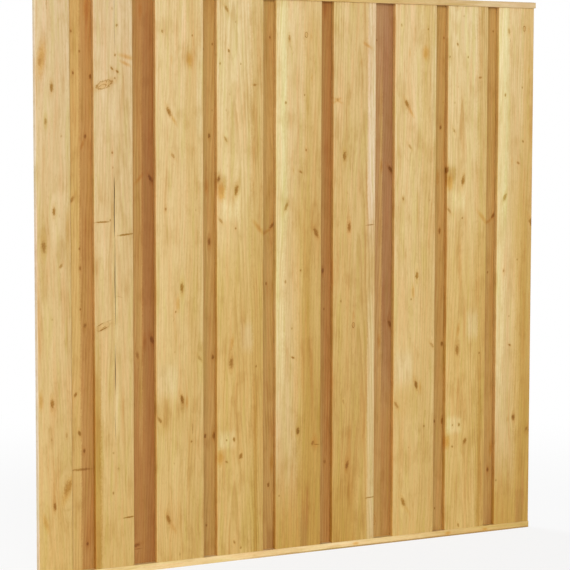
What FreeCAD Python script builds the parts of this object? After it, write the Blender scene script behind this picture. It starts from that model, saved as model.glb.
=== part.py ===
import FreeCAD, Part
import os

# Closed fence panel of lapped upright boards, in millimetres.
# X runs along the panel, Y from its front to its back and Z up.
# The origin is at the middle of the underside.

# Panel
PANEL_WIDTH = 1800.0
PANEL_HEIGHT = 1800.0

# Widths of the front boards and of the gaps between them, from left to right, as shares of the panel
FRONT_BOARD_SHARES = (112, 130, 164, 165, 166, 159, 160, 158, 143)
GAP_SHARES = (75, 75, 46, 44, 43, 72, 45, 43)

# Boards
REAR_BOARD_WIDTH = 140.0
BOARD_THICKNESS = 18.0
BOARD_ARRIS = 2.5

# Back rails, and the battens behind the outer boards that end level with them
RAIL_DEPTH = 28.0
RAIL_HEIGHT = 70.0
RAIL_ARRIS = 3.0
BATTEN_WIDTH = 45.0
END_SETBACK = 20.0

# Cap and plate
CAP_THICKNESS = 22.0
CAP_OVERHANG = 8.0
CAP_FALL = 3.0
CAP_ARRIS = 4.0
PLATE_THICKNESS = 22.0
PLATE_PROJECTION = 1.5
PLATE_ARRIS = 2.0

# Countersunk wood screws
SHANK_DIAMETER = 4.5
HEAD_DIAMETER = 9.0
HEAD_RIM = 0.6
HEAD_SINK = 0.5
HOLE_CLEARANCE = 0.25
POINT_LENGTH = 6.0
POINT_RADIUS = 0.6
DRIVE_WIDTH = 3.6
DRIVE_DEPTH = 1.8
BOARD_BITE = 11.0
RAIL_BITE = 38.0
SCREW_STAGGER = 14.0

# Sizes that follow from the ones above
SHARE_WIDTH = PANEL_WIDTH / (sum(FRONT_BOARD_SHARES) + sum(GAP_SHARES))
LEFT = -PANEL_WIDTH / 2
RIGHT = PANEL_WIDTH / 2
PANEL_DEPTH = 2 * CAP_OVERHANG + 2 * BOARD_THICKNESS + RAIL_DEPTH
CAP_FRONT = -PANEL_DEPTH / 2
CAP_BACK = PANEL_DEPTH / 2
BOARD_FRONT = CAP_FRONT + CAP_OVERHANG
REAR_FRONT = BOARD_FRONT + BOARD_THICKNESS
RAIL_FRONT = REAR_FRONT + BOARD_THICKNESS
RAIL_BACK = RAIL_FRONT + RAIL_DEPTH
RAIL_MIDDLE = (RAIL_FRONT + RAIL_BACK) / 2
BOARD_FOOT = PLATE_THICKNESS
BOARD_TOP = PANEL_HEIGHT - CAP_THICKNESS
BOARD_LENGTH = BOARD_TOP - BOARD_FOOT
RAIL_LENGTH = PANEL_WIDTH - 2 * END_SETBACK
RAIL_FEET = {
    "bottom_rail": BOARD_FOOT,
    "middle_rail": (BOARD_FOOT + BOARD_TOP - RAIL_HEIGHT) / 2,
    "top_rail": BOARD_TOP - RAIL_HEIGHT,
}
SHANK_RADIUS = SHANK_DIAMETER / 2
HEAD_RADIUS = HEAD_DIAMETER / 2
HOLE_RADIUS = SHANK_RADIUS + HOLE_CLEARANCE
BOARD_SCREW_LENGTH = RAIL_DEPTH - HEAD_SINK + BOARD_THICKNESS + BOARD_BITE
CAP_SCREW_LENGTH = CAP_THICKNESS - HEAD_SINK + RAIL_BITE
PLATE_SCREW_LENGTH = PLATE_THICKNESS - HEAD_SINK + RAIL_BITE

FORWARD = FreeCAD.Vector(0, -1, 0)
UP = FreeCAD.Vector(0, 0, 1)
DOWN = FreeCAD.Vector(0, 0, -1)


def long_edges(bar):
    """The edges that run the whole length of a bar."""
    longest = max(edge.Length for edge in bar.Edges)
    return [edge for edge in bar.Edges if edge.Length > longest - Part.Precision.confusion()]


def planed_bar(corner, size, arris):
    """A straight bar with its long arrises rounded."""
    bar = Part.makeBox(size[0], size[1], size[2], FreeCAD.Vector(*corner))
    return bar.makeFillet(arris, long_edges(bar))


def upright(left, front, width):
    """A board that stands on the plate and reaches the cap."""
    corner = (left, front, BOARD_FOOT)
    size = (width, BOARD_THICKNESS, BOARD_LENGTH)
    return planed_bar(corner, size, BOARD_ARRIS)


def turned(outline, place, direction):
    """A solid turned about Z from an outline of radius and height, then laid along a direction."""
    points = [FreeCAD.Vector(radius, 0, height) for radius, height in outline]
    face = Part.Face(Part.makePolygon(points + points[:1]))
    solid = face.revolve(FreeCAD.Vector(0, 0, 0), UP, 360)
    turn = FreeCAD.Rotation(UP, direction)
    solid.Placement = FreeCAD.Placement(FreeCAD.Vector(*place), turn)
    return solid


def wood_screw(place, direction, length):
    """A countersunk screw driven from a place on a surface in a direction."""
    cone_end = HEAD_SINK + HEAD_RIM + HEAD_RADIUS - SHANK_RADIUS
    tip = HEAD_SINK + length
    outline = [
        (0, HEAD_SINK),
        (HEAD_RADIUS, HEAD_SINK),
        (HEAD_RADIUS, HEAD_SINK + HEAD_RIM),
        (SHANK_RADIUS, cone_end),
        (SHANK_RADIUS, tip - POINT_LENGTH),
        (POINT_RADIUS, tip),
        (0, tip),
    ]
    return turned(outline, place, direction)


def drive_recess(place, direction):
    """The square recess in a screw head."""
    half = DRIVE_WIDTH / 2
    corner = FreeCAD.Vector(-half, -half, 0)
    recess = Part.makeBox(DRIVE_WIDTH, DRIVE_WIDTH, HEAD_SINK + DRIVE_DEPTH, corner)
    turn = FreeCAD.Rotation(UP, direction)
    recess.Placement = FreeCAD.Placement(FreeCAD.Vector(*place), turn)
    return recess


def screw_hole(place, direction, depth):
    """A clearance hole with the countersink that a screw head seats in."""
    seat = HEAD_SINK + HEAD_RIM
    outline = [
        (0, -seat),
        (HEAD_RADIUS, -seat),
        (HEAD_RADIUS, seat),
        (HOLE_RADIUS, seat + HEAD_RADIUS - HOLE_RADIUS),
        (HOLE_RADIUS, depth),
        (0, depth),
    ]
    return turned(outline, place, direction)


def cap_solid():
    """The cap: flat below, falling from a ridge to both edges, with rounded upper arrises."""
    edge_height = PANEL_HEIGHT - CAP_FALL
    outline = [
        (CAP_FRONT, BOARD_TOP),
        (CAP_BACK, BOARD_TOP),
        (CAP_BACK, edge_height),
        (0, PANEL_HEIGHT),
        (CAP_FRONT, edge_height),
    ]
    points = [FreeCAD.Vector(LEFT, y, z) for y, z in outline]
    face = Part.Face(Part.makePolygon(points + points[:1]))
    cap = face.extrude(FreeCAD.Vector(PANEL_WIDTH, 0, 0))
    arrises = []
    for edge in long_edges(cap):
        if abs(edge.Vertexes[0].Z - edge_height) < CAP_FALL / 2:
            arrises.append(edge)
    return cap.makeFillet(CAP_ARRIS, arrises)


def plate_solid():
    """The plate under the boards and the bottom rail."""
    front = BOARD_FRONT - PLATE_PROJECTION
    size = (PANEL_WIDTH, RAIL_BACK - front, PLATE_THICKNESS)
    return planed_bar((LEFT, front, 0), size, PLATE_ARRIS)


def rail_solid(foot):
    """One back rail with its lower edge at a height."""
    corner = (LEFT + END_SETBACK, RAIL_FRONT, foot)
    size = (RAIL_LENGTH, RAIL_DEPTH, RAIL_HEIGHT)
    return planed_bar(corner, size, RAIL_ARRIS)


def save(node, shape):
    """Write one node."""
    shape.exportStep("parts/" + node + ".step")


os.makedirs("parts", exist_ok=True)

# Front boards from left to right, with the gap after each
front_spans = []
start = LEFT
for board_share, gap_share in zip(FRONT_BOARD_SHARES, GAP_SHARES + (0,)):
    end = start + board_share * SHARE_WIDTH
    front_spans.append((start, end))
    start = end + gap_share * SHARE_WIDTH

# Rear layer: a board centred on each gap, and a batten near each end
rear_spans = []
for before, after in zip(front_spans, front_spans[1:]):
    middle = (before[1] + after[0]) / 2
    rear_spans.append((middle - REAR_BOARD_WIDTH / 2, middle + REAR_BOARD_WIDTH / 2))
left_batten_span = (LEFT + END_SETBACK, LEFT + END_SETBACK + BATTEN_WIDTH)
right_batten_span = (RIGHT - END_SETBACK - BATTEN_WIDTH, RIGHT - END_SETBACK)

boards = {}
for number, (start, end) in enumerate(front_spans, 1):
    boards["front_board_" + str(number)] = upright(start, BOARD_FRONT, end - start)
for number, (start, end) in enumerate(rear_spans, 1):
    boards["rear_board_" + str(number)] = upright(start, REAR_FRONT, end - start)
boards["left_batten"] = upright(left_batten_span[0], REAR_FRONT, BATTEN_WIDTH)
boards["right_batten"] = upright(right_batten_span[0], REAR_FRONT, BATTEN_WIDTH)

# Screw columns: the middle of each lap, and the middle of each batten.
# Each column names the two boards that its screws go into.
columns = []
for number, (start, end) in enumerate(rear_spans, 1):
    rear = "rear_board_" + str(number)
    left_lap = (start + front_spans[number - 1][1]) / 2
    right_lap = (front_spans[number][0] + end) / 2
    columns.append((left_lap, -SCREW_STAGGER, rear, "front_board_" + str(number)))
    columns.append((right_lap, SCREW_STAGGER, rear, "front_board_" + str(number + 1)))
last_board = "front_board_" + str(len(front_spans))
columns.append((sum(left_batten_span) / 2, SCREW_STAGGER, "left_batten", "front_board_1"))
columns.append((sum(right_batten_span) / 2, -SCREW_STAGGER, "right_batten", last_board))

# Screws through the rails and the rear layer into the front boards
board_screws = []
rails = {}
bites = {}
for rail_name, foot in RAIL_FEET.items():
    holes = []
    for x, stagger, rear, front in columns:
        place = (x, RAIL_BACK, foot + RAIL_HEIGHT / 2 + stagger)
        screw = wood_screw(place, FORWARD, BOARD_SCREW_LENGTH)
        holes.append(screw_hole(place, FORWARD, RAIL_DEPTH))
        bites.setdefault(rear, []).append(screw)
        bites.setdefault(front, []).append(screw)
        board_screws.append(screw.cut(drive_recess(place, FORWARD)))
    rails[rail_name] = rail_solid(foot).cut(holes)

for name, board in boards.items():
    save(name, board.cut(bites[name]))

# Screws down through the cap and up through the plate, at the middle of every second front board
cap_screws = []
cap_holes = []
cap_bites = []
plate_screws = []
plate_holes = []
plate_bites = []
fall_at_screws = CAP_FALL * RAIL_MIDDLE / CAP_BACK
for start, end in front_spans[::2]:
    middle = (start + end) / 2
    above = (middle, RAIL_MIDDLE, PANEL_HEIGHT - fall_at_screws)
    screw = wood_screw(above, DOWN, CAP_SCREW_LENGTH - fall_at_screws)
    cap_bites.append(screw)
    cap_holes.append(screw_hole(above, DOWN, CAP_THICKNESS))
    cap_screws.append(screw.cut(drive_recess(above, DOWN)))
    below = (middle, RAIL_MIDDLE, 0)
    screw = wood_screw(below, UP, PLATE_SCREW_LENGTH)
    plate_bites.append(screw)
    plate_holes.append(screw_hole(below, UP, PLATE_THICKNESS))
    plate_screws.append(screw.cut(drive_recess(below, UP)))

save("top_cap", cap_solid().cut(cap_holes))
save("bottom_plate", plate_solid().cut(plate_holes))
save("top_rail", rails["top_rail"].cut(cap_bites))
save("middle_rail", rails["middle_rail"])
save("bottom_rail", rails["bottom_rail"].cut(plate_bites))
save("board_screws", Part.makeCompound(board_screws))
save("cap_screws", Part.makeCompound(cap_screws))
save("plate_screws", Part.makeCompound(plate_screws))
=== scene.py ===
"""Closeboard fence panel: lapped pine boards under a cap, on a plate, with back rails and wood screws."""

import logging
import math
from dataclasses import dataclass, replace
from enum import Enum
from typing import ClassVar

import bpy
from mathutils import Euler, Matrix, Vector

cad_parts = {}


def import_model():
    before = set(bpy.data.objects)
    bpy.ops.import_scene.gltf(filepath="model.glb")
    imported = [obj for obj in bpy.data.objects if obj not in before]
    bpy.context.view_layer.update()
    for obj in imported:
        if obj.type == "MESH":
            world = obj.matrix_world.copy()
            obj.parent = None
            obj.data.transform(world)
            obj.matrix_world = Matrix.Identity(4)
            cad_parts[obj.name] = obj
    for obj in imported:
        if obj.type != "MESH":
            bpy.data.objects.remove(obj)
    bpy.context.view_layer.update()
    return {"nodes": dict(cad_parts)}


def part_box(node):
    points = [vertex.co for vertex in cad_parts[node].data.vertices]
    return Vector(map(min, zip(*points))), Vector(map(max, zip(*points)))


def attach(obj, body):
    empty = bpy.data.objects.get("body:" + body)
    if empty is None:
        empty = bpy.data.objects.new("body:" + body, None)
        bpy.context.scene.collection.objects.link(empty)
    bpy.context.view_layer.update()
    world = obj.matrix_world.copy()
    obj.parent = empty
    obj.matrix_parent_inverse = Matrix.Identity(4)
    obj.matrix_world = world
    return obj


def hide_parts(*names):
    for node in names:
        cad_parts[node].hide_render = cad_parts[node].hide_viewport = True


LOG = logging.getLogger("fence_panel")
BODY = "root"
MILLIMETRE = 0.001

Socket = bpy.types.NodeSocket
Feed = Socket | float | int | tuple[float, ...]
Colour = tuple[float, float, float, float]
Ramp = tuple[float, ...]


def tint(red: int, green: int, blue: int) -> Colour:
    """A colour for a shader socket from its display values.

    Args:
        red: Display red, 0 to 255.
        green: Display green, 0 to 255.
        blue: Display blue, 0 to 255.

    Returns:
        The same colour in linear light, with full alpha.
    """
    def linear(value: int) -> float:
        """One channel in linear light."""
        share = value / 255
        return share / 12.92 if share <= 0.04045 else ((share + 0.055) / 1.055) ** 2.4

    return linear(red), linear(green), linear(blue), 1.0


class Run(Enum):
    """The way that a piece's grain runs."""

    UPRIGHT = "upright"
    LEVEL = "level"


class Tone(Enum):
    """The tones of the panel's pine, from pale to dark."""

    CHALK = tint(234, 220, 165)
    SHELL = tint(242, 216, 160)
    PEARL = tint(228, 206, 172)
    CREAM = tint(222, 200, 150)
    REED = tint(220, 212, 155)
    STRAW = tint(220, 194, 142)
    BUFF = tint(214, 188, 143)
    WHEAT = tint(214, 186, 130)
    HONEY = tint(213, 180, 110)
    MUSTARD = tint(206, 171, 100)
    BISCUIT = tint(202, 162, 92)
    OCHRE = tint(197, 158, 79)
    AMBER = tint(188, 147, 64)
    TAN = tint(187, 147, 80)
    FAWN = tint(180, 131, 67)
    CLAY = tint(174, 132, 88)
    OLIVE = tint(172, 136, 71)
    UMBER = tint(173, 122, 60)
    COPPER = tint(178, 116, 52)
    RUSSET = tint(155, 104, 50)
    COCOA = tint(154, 106, 64)


@dataclass(frozen=True)
class KnotForm:
    """How strongly one sort of knot colours the wood and bends its grain."""

    wide: float
    high: float
    core: float
    halo: float
    ring: float
    push: float


class KnotKind(Enum):
    """The sorts of knots and marks in the boards, with half sizes in millimetres."""

    PIN = KnotForm(wide=4.0, high=5.5, core=0.54, halo=0.25, ring=0.0, push=0.6)
    DEAD = KnotForm(wide=5.4, high=9.0, core=0.66, halo=0.45, ring=0.15, push=1.2)
    LIVE = KnotForm(wide=7.0, high=17.0, core=0.62, halo=0.60, ring=0.2, push=1.4)
    RING = KnotForm(wide=11.0, high=25.0, core=0.18, halo=0.75, ring=0.55, push=0.5)
    EYE = KnotForm(wide=5.0, high=8.0, core=0.25, halo=0.50, ring=0.80, push=0.5)
    RESIN = KnotForm(wide=9.0, high=12.0, core=0.14, halo=1.2, ring=0.0, push=0.6)
    SPIKE = KnotForm(wide=2.6, high=22.0, core=0.66, halo=0.15, ring=0.0, push=0.0)
    SMEAR = KnotForm(wide=6.5, high=18.0, core=0.18, halo=0.95, ring=0.0, push=0.3)
    WEDGE = KnotForm(wide=10.0, high=27.0, core=0.2, halo=1.25, ring=0.0, push=0.4)


@dataclass(frozen=True)
class Knot:
    """One knot or mark in a piece.

    Attributes:
        side: How far it lies across the grain from the piece's datum edge, in millimetres.
        along: Its place along the grain, in metres: a height, or an X in a level piece.
        kind: Its sort.
        size: Its size as a multiple of its sort's.
        lean: Its turn from the grain, in degrees, clockwise.
        dark: How strongly it shows.
    """

    side: float
    along: float
    kind: KnotKind
    size: float = 1.0
    lean: float = 0.0
    dark: float = 1.0


@dataclass(frozen=True)
class Stripe:
    """A streak of another tone along an upright board.

    Attributes:
        left: Where it begins across the board, from the datum edge, in millimetres.
        right: Where it ends across the board, in millimetres.
        low: Height of its foot, in metres.
        high: Height of its head, in metres.
        tone: Its tone.
        strength: How much of that tone it has.
        edge: Width of its soft sides, in millimetres.
        fade: Length over which it comes in at its head and foot, in metres.
    """

    left: float
    right: float
    low: float
    high: float
    tone: Tone
    strength: float
    edge: float = 8.0
    fade: float = 0.15


@dataclass(frozen=True)
class PineFinish:
    """Planed pine of one board.

    Attributes:
        head: Tone at the head of an upright piece, or at the right of a level one.
        foot: Tone at its foot, or at its left.
        seed: Number that sets its pattern apart from the other boards'.
        pith: Place of the tree's middle across the board, from -0.5 to 0.5 of its width.
        behind: How far the tree's middle lies behind the face, in metres.
        ring_gap: Width of a year's growth, in metres.
        contrast: How far late wood stands out.
        clouds: How far the colour drifts across the board.
        ramp: Where along the piece the foot's colour ends and the head's begins, from 0 to 1.
    """

    head: Tone
    foot: Tone
    seed: float
    pith: float = 0.0
    behind: float = 0.06
    ring_gap: float = 0.0085
    contrast: float = 0.42
    clouds: float = 0.75
    ramp: tuple[float, float] = (0.0, 1.0)


@dataclass(frozen=True)
class ZincFinish:
    """Yellow-passivated zinc on steel screws.

    Attributes:
        bright: Its brighter colour.
        dull: Its duller colour.
        cloud_scale: Scale of the clouds between the two.
        cloud_detail: How many finer noises the clouds hold.
        cloud_edge: The clouds' values where the duller colour begins and is full.
        roughness: Its middle roughness.
        roughness_span: How far the roughness varies.
        relief: Strength of its unevenness.
        relief_depth: Depth of its unevenness, in metres.
    """

    bright: Colour = tint(214, 186, 110)
    dull: Colour = tint(164, 140, 88)
    cloud_scale: float = 420.0
    cloud_detail: float = 3.0
    cloud_edge: tuple[float, float] = (0.35, 0.7)
    roughness: float = 0.34
    roughness_span: float = 0.22
    relief: float = 0.15
    relief_depth: float = 0.0002


@dataclass(frozen=True)
class PhotoView:
    """The photo's camera.

    Attributes:
        size: Width and height of the photo, in pixels.
        sensor: Width of the sensor, in millimetres.
        focal_px: Focal length, in pixels of the photo.
        place: Its place in metres, from the middle of the panel's foot.
        yaw: Its turn to the right of straight on.
        pitch: Its tilt below level.
        roll: Its turn about its own line of sight.
        sight: How far it sees, in metres.
    """

    size: int = 570
    sensor: float = 36.0
    focal_px: float = 1986.2
    place: tuple[float, float, float] = (-3.048, -5.601, 1.398)
    yaw: float = math.radians(28.25)
    pitch: float = math.radians(4.73)
    roll: float = math.radians(0.112)
    sight: float = 100.0

    def axes(self) -> tuple[Vector, Vector, Vector]:
        """The camera's directions.

        Returns:
            Its right, up and forward directions.
        """
        forward = Vector((
            math.sin(self.yaw) * math.cos(self.pitch),
            math.cos(self.yaw) * math.cos(self.pitch),
            -math.sin(self.pitch),
        ))
        level = Vector((math.cos(self.yaw), -math.sin(self.yaw), 0))
        raised = level.cross(forward)
        right = level * math.cos(self.roll) + raised * math.sin(self.roll)
        return right, right.cross(forward), forward

    def build(self) -> None:
        """Make the camera and set it as the scene's."""
        data = bpy.data.cameras.new("photo_camera")
        data.sensor_width = self.sensor
        data.lens = self.focal_px * self.sensor / self.size
        data.clip_end = self.sight
        camera = bpy.data.objects.new("photo_camera", data)
        right, up, forward = self.axes()
        turn = Matrix((right, up, -forward)).transposed().to_4x4()
        camera.matrix_world = Matrix.Translation(self.place) @ turn
        bpy.context.scene.collection.objects.link(camera)
        bpy.context.scene.camera = camera


VALUE = "NodeSocketFloat"
COLOUR = "NodeSocketColor"
GEOMETRY = "NodeSocketGeometry"


class NodeSheet:
    """A node tree with short calls that add nodes and give back their sockets."""

    NOISE_ROUGHNESS: ClassVar[float] = 0.55

    def __init__(self, tree: bpy.types.NodeTree) -> None:
        """Keep the tree that nodes are added to."""
        self.tree = tree

    def add(self, kind: str, **settings: object) -> bpy.types.Node:
        """Add a node.

        Args:
            kind: The node's type name.
            settings: Values for its properties.

        Returns:
            The node.
        """
        node = self.tree.nodes.new(kind)
        for name, value in settings.items():
            setattr(node, name, value)
        return node

    def feed(self, socket: Socket, value: Feed) -> None:
        """Link an input to another socket, or set the input's own value.

        Args:
            socket: The input.
            value: The other socket, or the value.
        """
        if isinstance(value, bpy.types.NodeSocket):
            self.tree.links.new(value, socket)
        else:
            socket.default_value = value

    def put(self, kind: str, feeds: dict[str | int, Feed], **settings: object) -> bpy.types.Node:
        """Add a node and feed its inputs.

        Args:
            kind: The node's type name.
            feeds: Input name or number to a socket or a value.
            settings: Values for its properties.

        Returns:
            The node.
        """
        node = self.add(kind, **settings)
        for name, value in feeds.items():
            self.feed(node.inputs[name], value)
        return node

    def first(self, kind: str, feeds: dict[str | int, Feed], **settings: object) -> Socket:
        """Add a node, feed its inputs and give back its first output."""
        return self.put(kind, feeds, **settings).outputs[0]

    def group(self, tree: bpy.types.NodeTree, feeds: dict[str | int, Feed]) -> bpy.types.Node:
        """Add a shared shader group and feed its inputs."""
        return self.put("ShaderNodeGroup", feeds, node_tree=tree)

    def math(self, operation: str, first: Feed, second: Feed = 0.0, third: Feed = 0.0) -> Socket:
        """A Math node's result."""
        return self.first("ShaderNodeMath", {0: first, 1: second, 2: third}, operation=operation)

    def plus(self, first: Feed, second: Feed) -> Socket:
        """The sum of two values."""
        return self.math("ADD", first, second)

    def minus(self, first: Feed, second: Feed) -> Socket:
        """The first value less the second."""
        return self.math("SUBTRACT", first, second)

    def times(self, first: Feed, second: Feed) -> Socket:
        """The product of two values."""
        return self.math("MULTIPLY", first, second)

    def ramp(self, value: Feed, low: Feed, high: Feed, start: Feed = 0.0, end: Feed = 1.0) -> Socket:
        """A smooth, clamped change from start to end as a value goes from low to high."""
        feeds = {"Value": value, "From Min": low, "From Max": high, "To Min": start, "To Max": end}
        return self.first("ShaderNodeMapRange", feeds, interpolation_type="SMOOTHSTEP")

    def vector(self, x: Feed, y: Feed, z: Feed) -> Socket:
        """A vector from three values."""
        return self.first("ShaderNodeCombineXYZ", {0: x, 1: y, 2: z})

    def split(self, vector: Socket) -> tuple[Socket, Socket, Socket]:
        """A vector's three values."""
        outputs = self.put("ShaderNodeSeparateXYZ", {0: vector}).outputs
        return outputs[0], outputs[1], outputs[2]

    def noise(self, vector: Socket, scale: float, detail: float = 2.0) -> Socket:
        """A noise value round 0.5."""
        feeds = {"Vector": vector, "Scale": scale, "Detail": detail, "Roughness": self.NOISE_ROUGHNESS}
        return self.first("ShaderNodeTexNoise", feeds)

    def blend(self, share: Feed, first: Feed, second: Feed, way: str = "MIX") -> Socket:
        """Two colours mixed.

        Args:
            share: How much of the second colour there is.
            first: The first colour.
            second: The second colour.
            way: The way that they mix.

        Returns:
            The mixed colour.
        """
        node = self.add("ShaderNodeMix", data_type="RGBA", blend_type=way, clamp_factor=True)
        self.feed(node.inputs[0], share)
        self.feed(node.inputs[6], first)
        self.feed(node.inputs[7], second)
        return node.outputs[2]


class SurfaceSheet(NodeSheet):
    """The nodes of a material or of the world, begun afresh."""

    def __init__(self, owner: bpy.types.Material | bpy.types.World) -> None:
        """Turn the owner's nodes on and clear them.

        Args:
            owner: The material or the world.
        """
        owner.use_nodes = True
        owner.node_tree.nodes.clear()
        super().__init__(owner.node_tree)

    def spot(self) -> Socket:
        """The place on the piece, in its Object coordinates."""
        return self.add("ShaderNodeTexCoord").outputs["Object"]

    def surface(self, shader: Socket, kind: str = "ShaderNodeOutputMaterial") -> None:
        """Send a shader to the output."""
        self.put(kind, {"Surface": shader})


class GroupSheet(NodeSheet):
    """A node group with named inputs and outputs."""

    SOCKETS: ClassVar[dict[type, str]] = {float: VALUE, tuple: COLOUR, int: "NodeSocketInt"}

    def __init__(self, name: str, kind: str, inputs: dict[str, Feed | str]) -> None:
        """Start a group.

        Args:
            name: The group's name.
            kind: The tree's type name.
            inputs: Input name to its plain value, or to the type name of a socket that has none.
        """
        super().__init__(bpy.data.node_groups.new(name, kind))
        self.keys: dict[str, str] = {}
        for key, value in inputs.items():
            bare = isinstance(value, str)
            socket_type = value if bare else self.SOCKETS[type(value)]
            made = self.tree.interface.new_socket(key, in_out="INPUT", socket_type=socket_type)
            if not bare:
                made.default_value = value
            self.keys[key] = made.identifier
        self.source = self.add("NodeGroupInput").outputs

    def __getitem__(self, key: str) -> Socket:
        """The socket of a named input."""
        return self.source[key]

    def give(self, outputs: dict[str, tuple[str, Socket]]) -> bpy.types.NodeTree:
        """Name the outputs and close the group.

        Args:
            outputs: Output name to its socket type and what feeds it.

        Returns:
            The finished group.
        """
        for key, (kind, _) in outputs.items():
            self.tree.interface.new_socket(key, in_out="OUTPUT", socket_type=kind)
        sink = self.add("NodeGroupOutput")
        for key, (_, socket) in outputs.items():
            self.tree.links.new(socket, sink.inputs[key])
        return self.tree

    def give_dressed(self, geometry: Socket, material: Socket) -> None:
        """Close a tree of geometry nodes with real meshes that carry a material.

        Args:
            geometry: What the tree has made.
            material: The input that holds the material.
        """
        real = self.first("GeometryNodeRealizeInstances", {"Geometry": geometry})
        dressed = self.first("GeometryNodeSetMaterial", {"Geometry": real, "Material": material})
        self.give({"Geometry": (GEOMETRY, dressed)})


@dataclass(frozen=True)
class GrainNoise:
    """A noise that is drawn out along the grain.

    Attributes:
        across: How often it changes in a metre across the grain.
        along: How often it changes in a metre along the grain.
        detail: How many finer noises it holds.
        apart: A step that sets its pattern apart from the other noises'.
    """

    across: float
    along: float
    detail: float = 2.0
    apart: float = 0.0


@dataclass(frozen=True)
class Wash:
    """How a noise brings in a tint.

    Attributes:
        none: The noise's value where the tint begins.
        full: The noise's value where it is strongest.
        share: How much of it there is at its strongest.
    """

    none: float
    full: float
    share: float = 1.0


class PineShaders:
    """The node groups that every pine material shares.

    A tint multiplies the colour under it. A ramp has a low and a high limit, then a start and an end where
    these aren't 0 and 1.
    """

    GROUND: ClassVar[Colour] = (0.8, 0.6, 0.3, 1.0)
    GOLDEN: ClassVar[Colour] = (0.86, 0.72, 0.50, 1.0)
    PALE: ClassVar[Colour] = (1.10, 1.14, 1.30, 1.0)
    ROSY: ClassVar[Colour] = (1.02, 0.95, 0.93, 1.0)
    MOSSY: ClassVar[Colour] = (0.95, 0.98, 0.84, 1.0)
    TANNED: ClassVar[Colour] = (0.86, 0.78, 0.62, 1.0)
    LATE_WOOD: ClassVar[Colour] = (0.74, 0.60, 0.38, 1.0)
    KNOT_HALO: ClassVar[Colour] = (0.90, 0.70, 0.36, 1.0)
    KNOT_BROWN: ClassVar[Colour] = (0.58, 0.44, 0.14, 1.0)
    KNOT_DARK: ClassVar[Colour] = (0.62, 0.52, 0.25, 1.0)
    # Painted shade: the warmer, darker brown laid on a board's shaded sides.
    SIDE_SHADE_TINT: ClassVar[Colour] = (0.98, 0.80, 0.56, 1.0)

    WANDER: ClassVar[GrainNoise] = GrainNoise(5.0, 0.8, 3.0)
    RIPPLE: ClassVar[GrainNoise] = GrainNoise(14.0, 4.5)
    PATCH: ClassVar[GrainNoise] = GrainNoise(16.0, 1.3)
    DRIFT: ClassVar[GrainNoise] = GrainNoise(42.0, 3.2, 3.0)
    HUE: ClassVar[GrainNoise] = GrainNoise(75.0, 4.0, 3.0, 40.0)
    BLOTCH: ClassVar[GrainNoise] = GrainNoise(24.0, 11.0, 3.0, 70.0)
    STREAK: ClassVar[GrainNoise] = GrainNoise(190.0, 11.0, 4.0)
    FLECK: ClassVar[GrainNoise] = GrainNoise(300.0, 75.0)
    FIBRE: ClassVar[GrainNoise] = GrainNoise(900.0, 28.0)

    WARMED: ClassVar[Wash] = Wash(0.5, 0.78)
    COOLED: ClassVar[Wash] = Wash(0.5, 0.25)
    FLUSHED: ClassVar[Wash] = Wash(0.5, 0.68)
    MOSSED: ClassVar[Wash] = Wash(0.5, 0.32)
    BLOTCHED: ClassVar[Wash] = Wash(0.48, 0.72, 0.7)
    STREAKED: ClassVar[Wash] = Wash(0.48, 0.74, 0.42)
    LIT: ClassVar[Wash] = Wash(0.48, 0.28, 0.36)
    FLECKED: ClassVar[Wash] = Wash(0.5, 0.78, 0.34)
    FIBRED: ClassVar[Wash] = Wash(0.45, 0.75, 0.20)

    WANDER_WIDTH: ClassVar[float] = 0.05
    RIPPLE_WIDTH: ClassVar[float] = 0.009
    TRUNK_TAPER: ClassVar[float] = 0.028
    LATE_RISE: ClassVar[Ramp] = (0.25, 0.88)
    LATE_END: ClassVar[Ramp] = (0.9, 1.0, 1.0, 0.0)
    PATCHED: ClassVar[Ramp] = (0.3, 0.75, 0.25, 1.0)
    RING_RELIEF: ClassVar[float] = 0.6
    FIBRE_RELIEF: ClassVar[float] = 0.4
    ROUGHNESS: ClassVar[float] = 0.46
    FIBRE_ROUGHNESS: ClassVar[float] = 0.14

    KNOT_FRAY: ClassVar[float] = 0.9
    KNOT_EDGE: ClassVar[Ramp] = (0.35, 1.2, 1.0, 0.0)
    HALO_EDGE: ClassVar[Ramp] = (0.2, 1.8, 1.0, 0.0)
    SPECKLE: ClassVar[Ramp] = (0.3, 0.7, 1.14, 0.86)
    BROWNED: ClassVar[Ramp] = (0.05, 0.7)
    DARKENED: ClassVar[Ramp] = (0.5, 0.95, 0.0, 0.85)
    HALO_TAIL: ClassVar[float] = 0.45
    HALO_SHARE: ClassVar[float] = 0.8
    RING_BREADTH: ClassVar[float] = 0.28
    BEND_ACROSS: ClassVar[float] = -0.5
    BEND_ALONG: ClassVar[float] = -0.16
    # Where the painted side shade fades out, from a board's side inwards.
    SIDE_SHADE_INSET: ClassVar[Ramp] = (0.0008, 0.0022, 1.0, 0.0)

    def __init__(self) -> None:
        """Build the groups once."""
        self.knot = self.knot_group()
        self.grain = self.grain_group()
        self.stripe = self.stripe_group()
        self.stain = self.stain_group()
        self.side_shade = self.side_shade_group()

    def knot_group(self) -> bpy.types.NodeTree:
        """One knot: adds to the grain's sideways shift and to the knot masks before it.

        Returns:
            The group.
        """
        sheet = GroupSheet("Knot", "ShaderNodeTree", {
            "Across": 0.0, "Along": 0.0, "Ragged": 0.5, "Shift": 0.0, "Core": 0.0, "Halo": 0.0,
            "Centre across": 0.0, "Centre along": 0.0, "Half width": 0.005, "Half height": 0.008,
            "Lean": 0.0, "Core strength": 0.8, "Halo strength": 0.4, "Ring strength": 0.2, "Push": 1.0,
        })

        def squared(place: Socket, half: str) -> Socket:
            """The square of a place that is counted in the knot's half sizes."""
            count = sheet.math("DIVIDE", place, sheet[half])
            return sheet.times(count, count)

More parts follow.
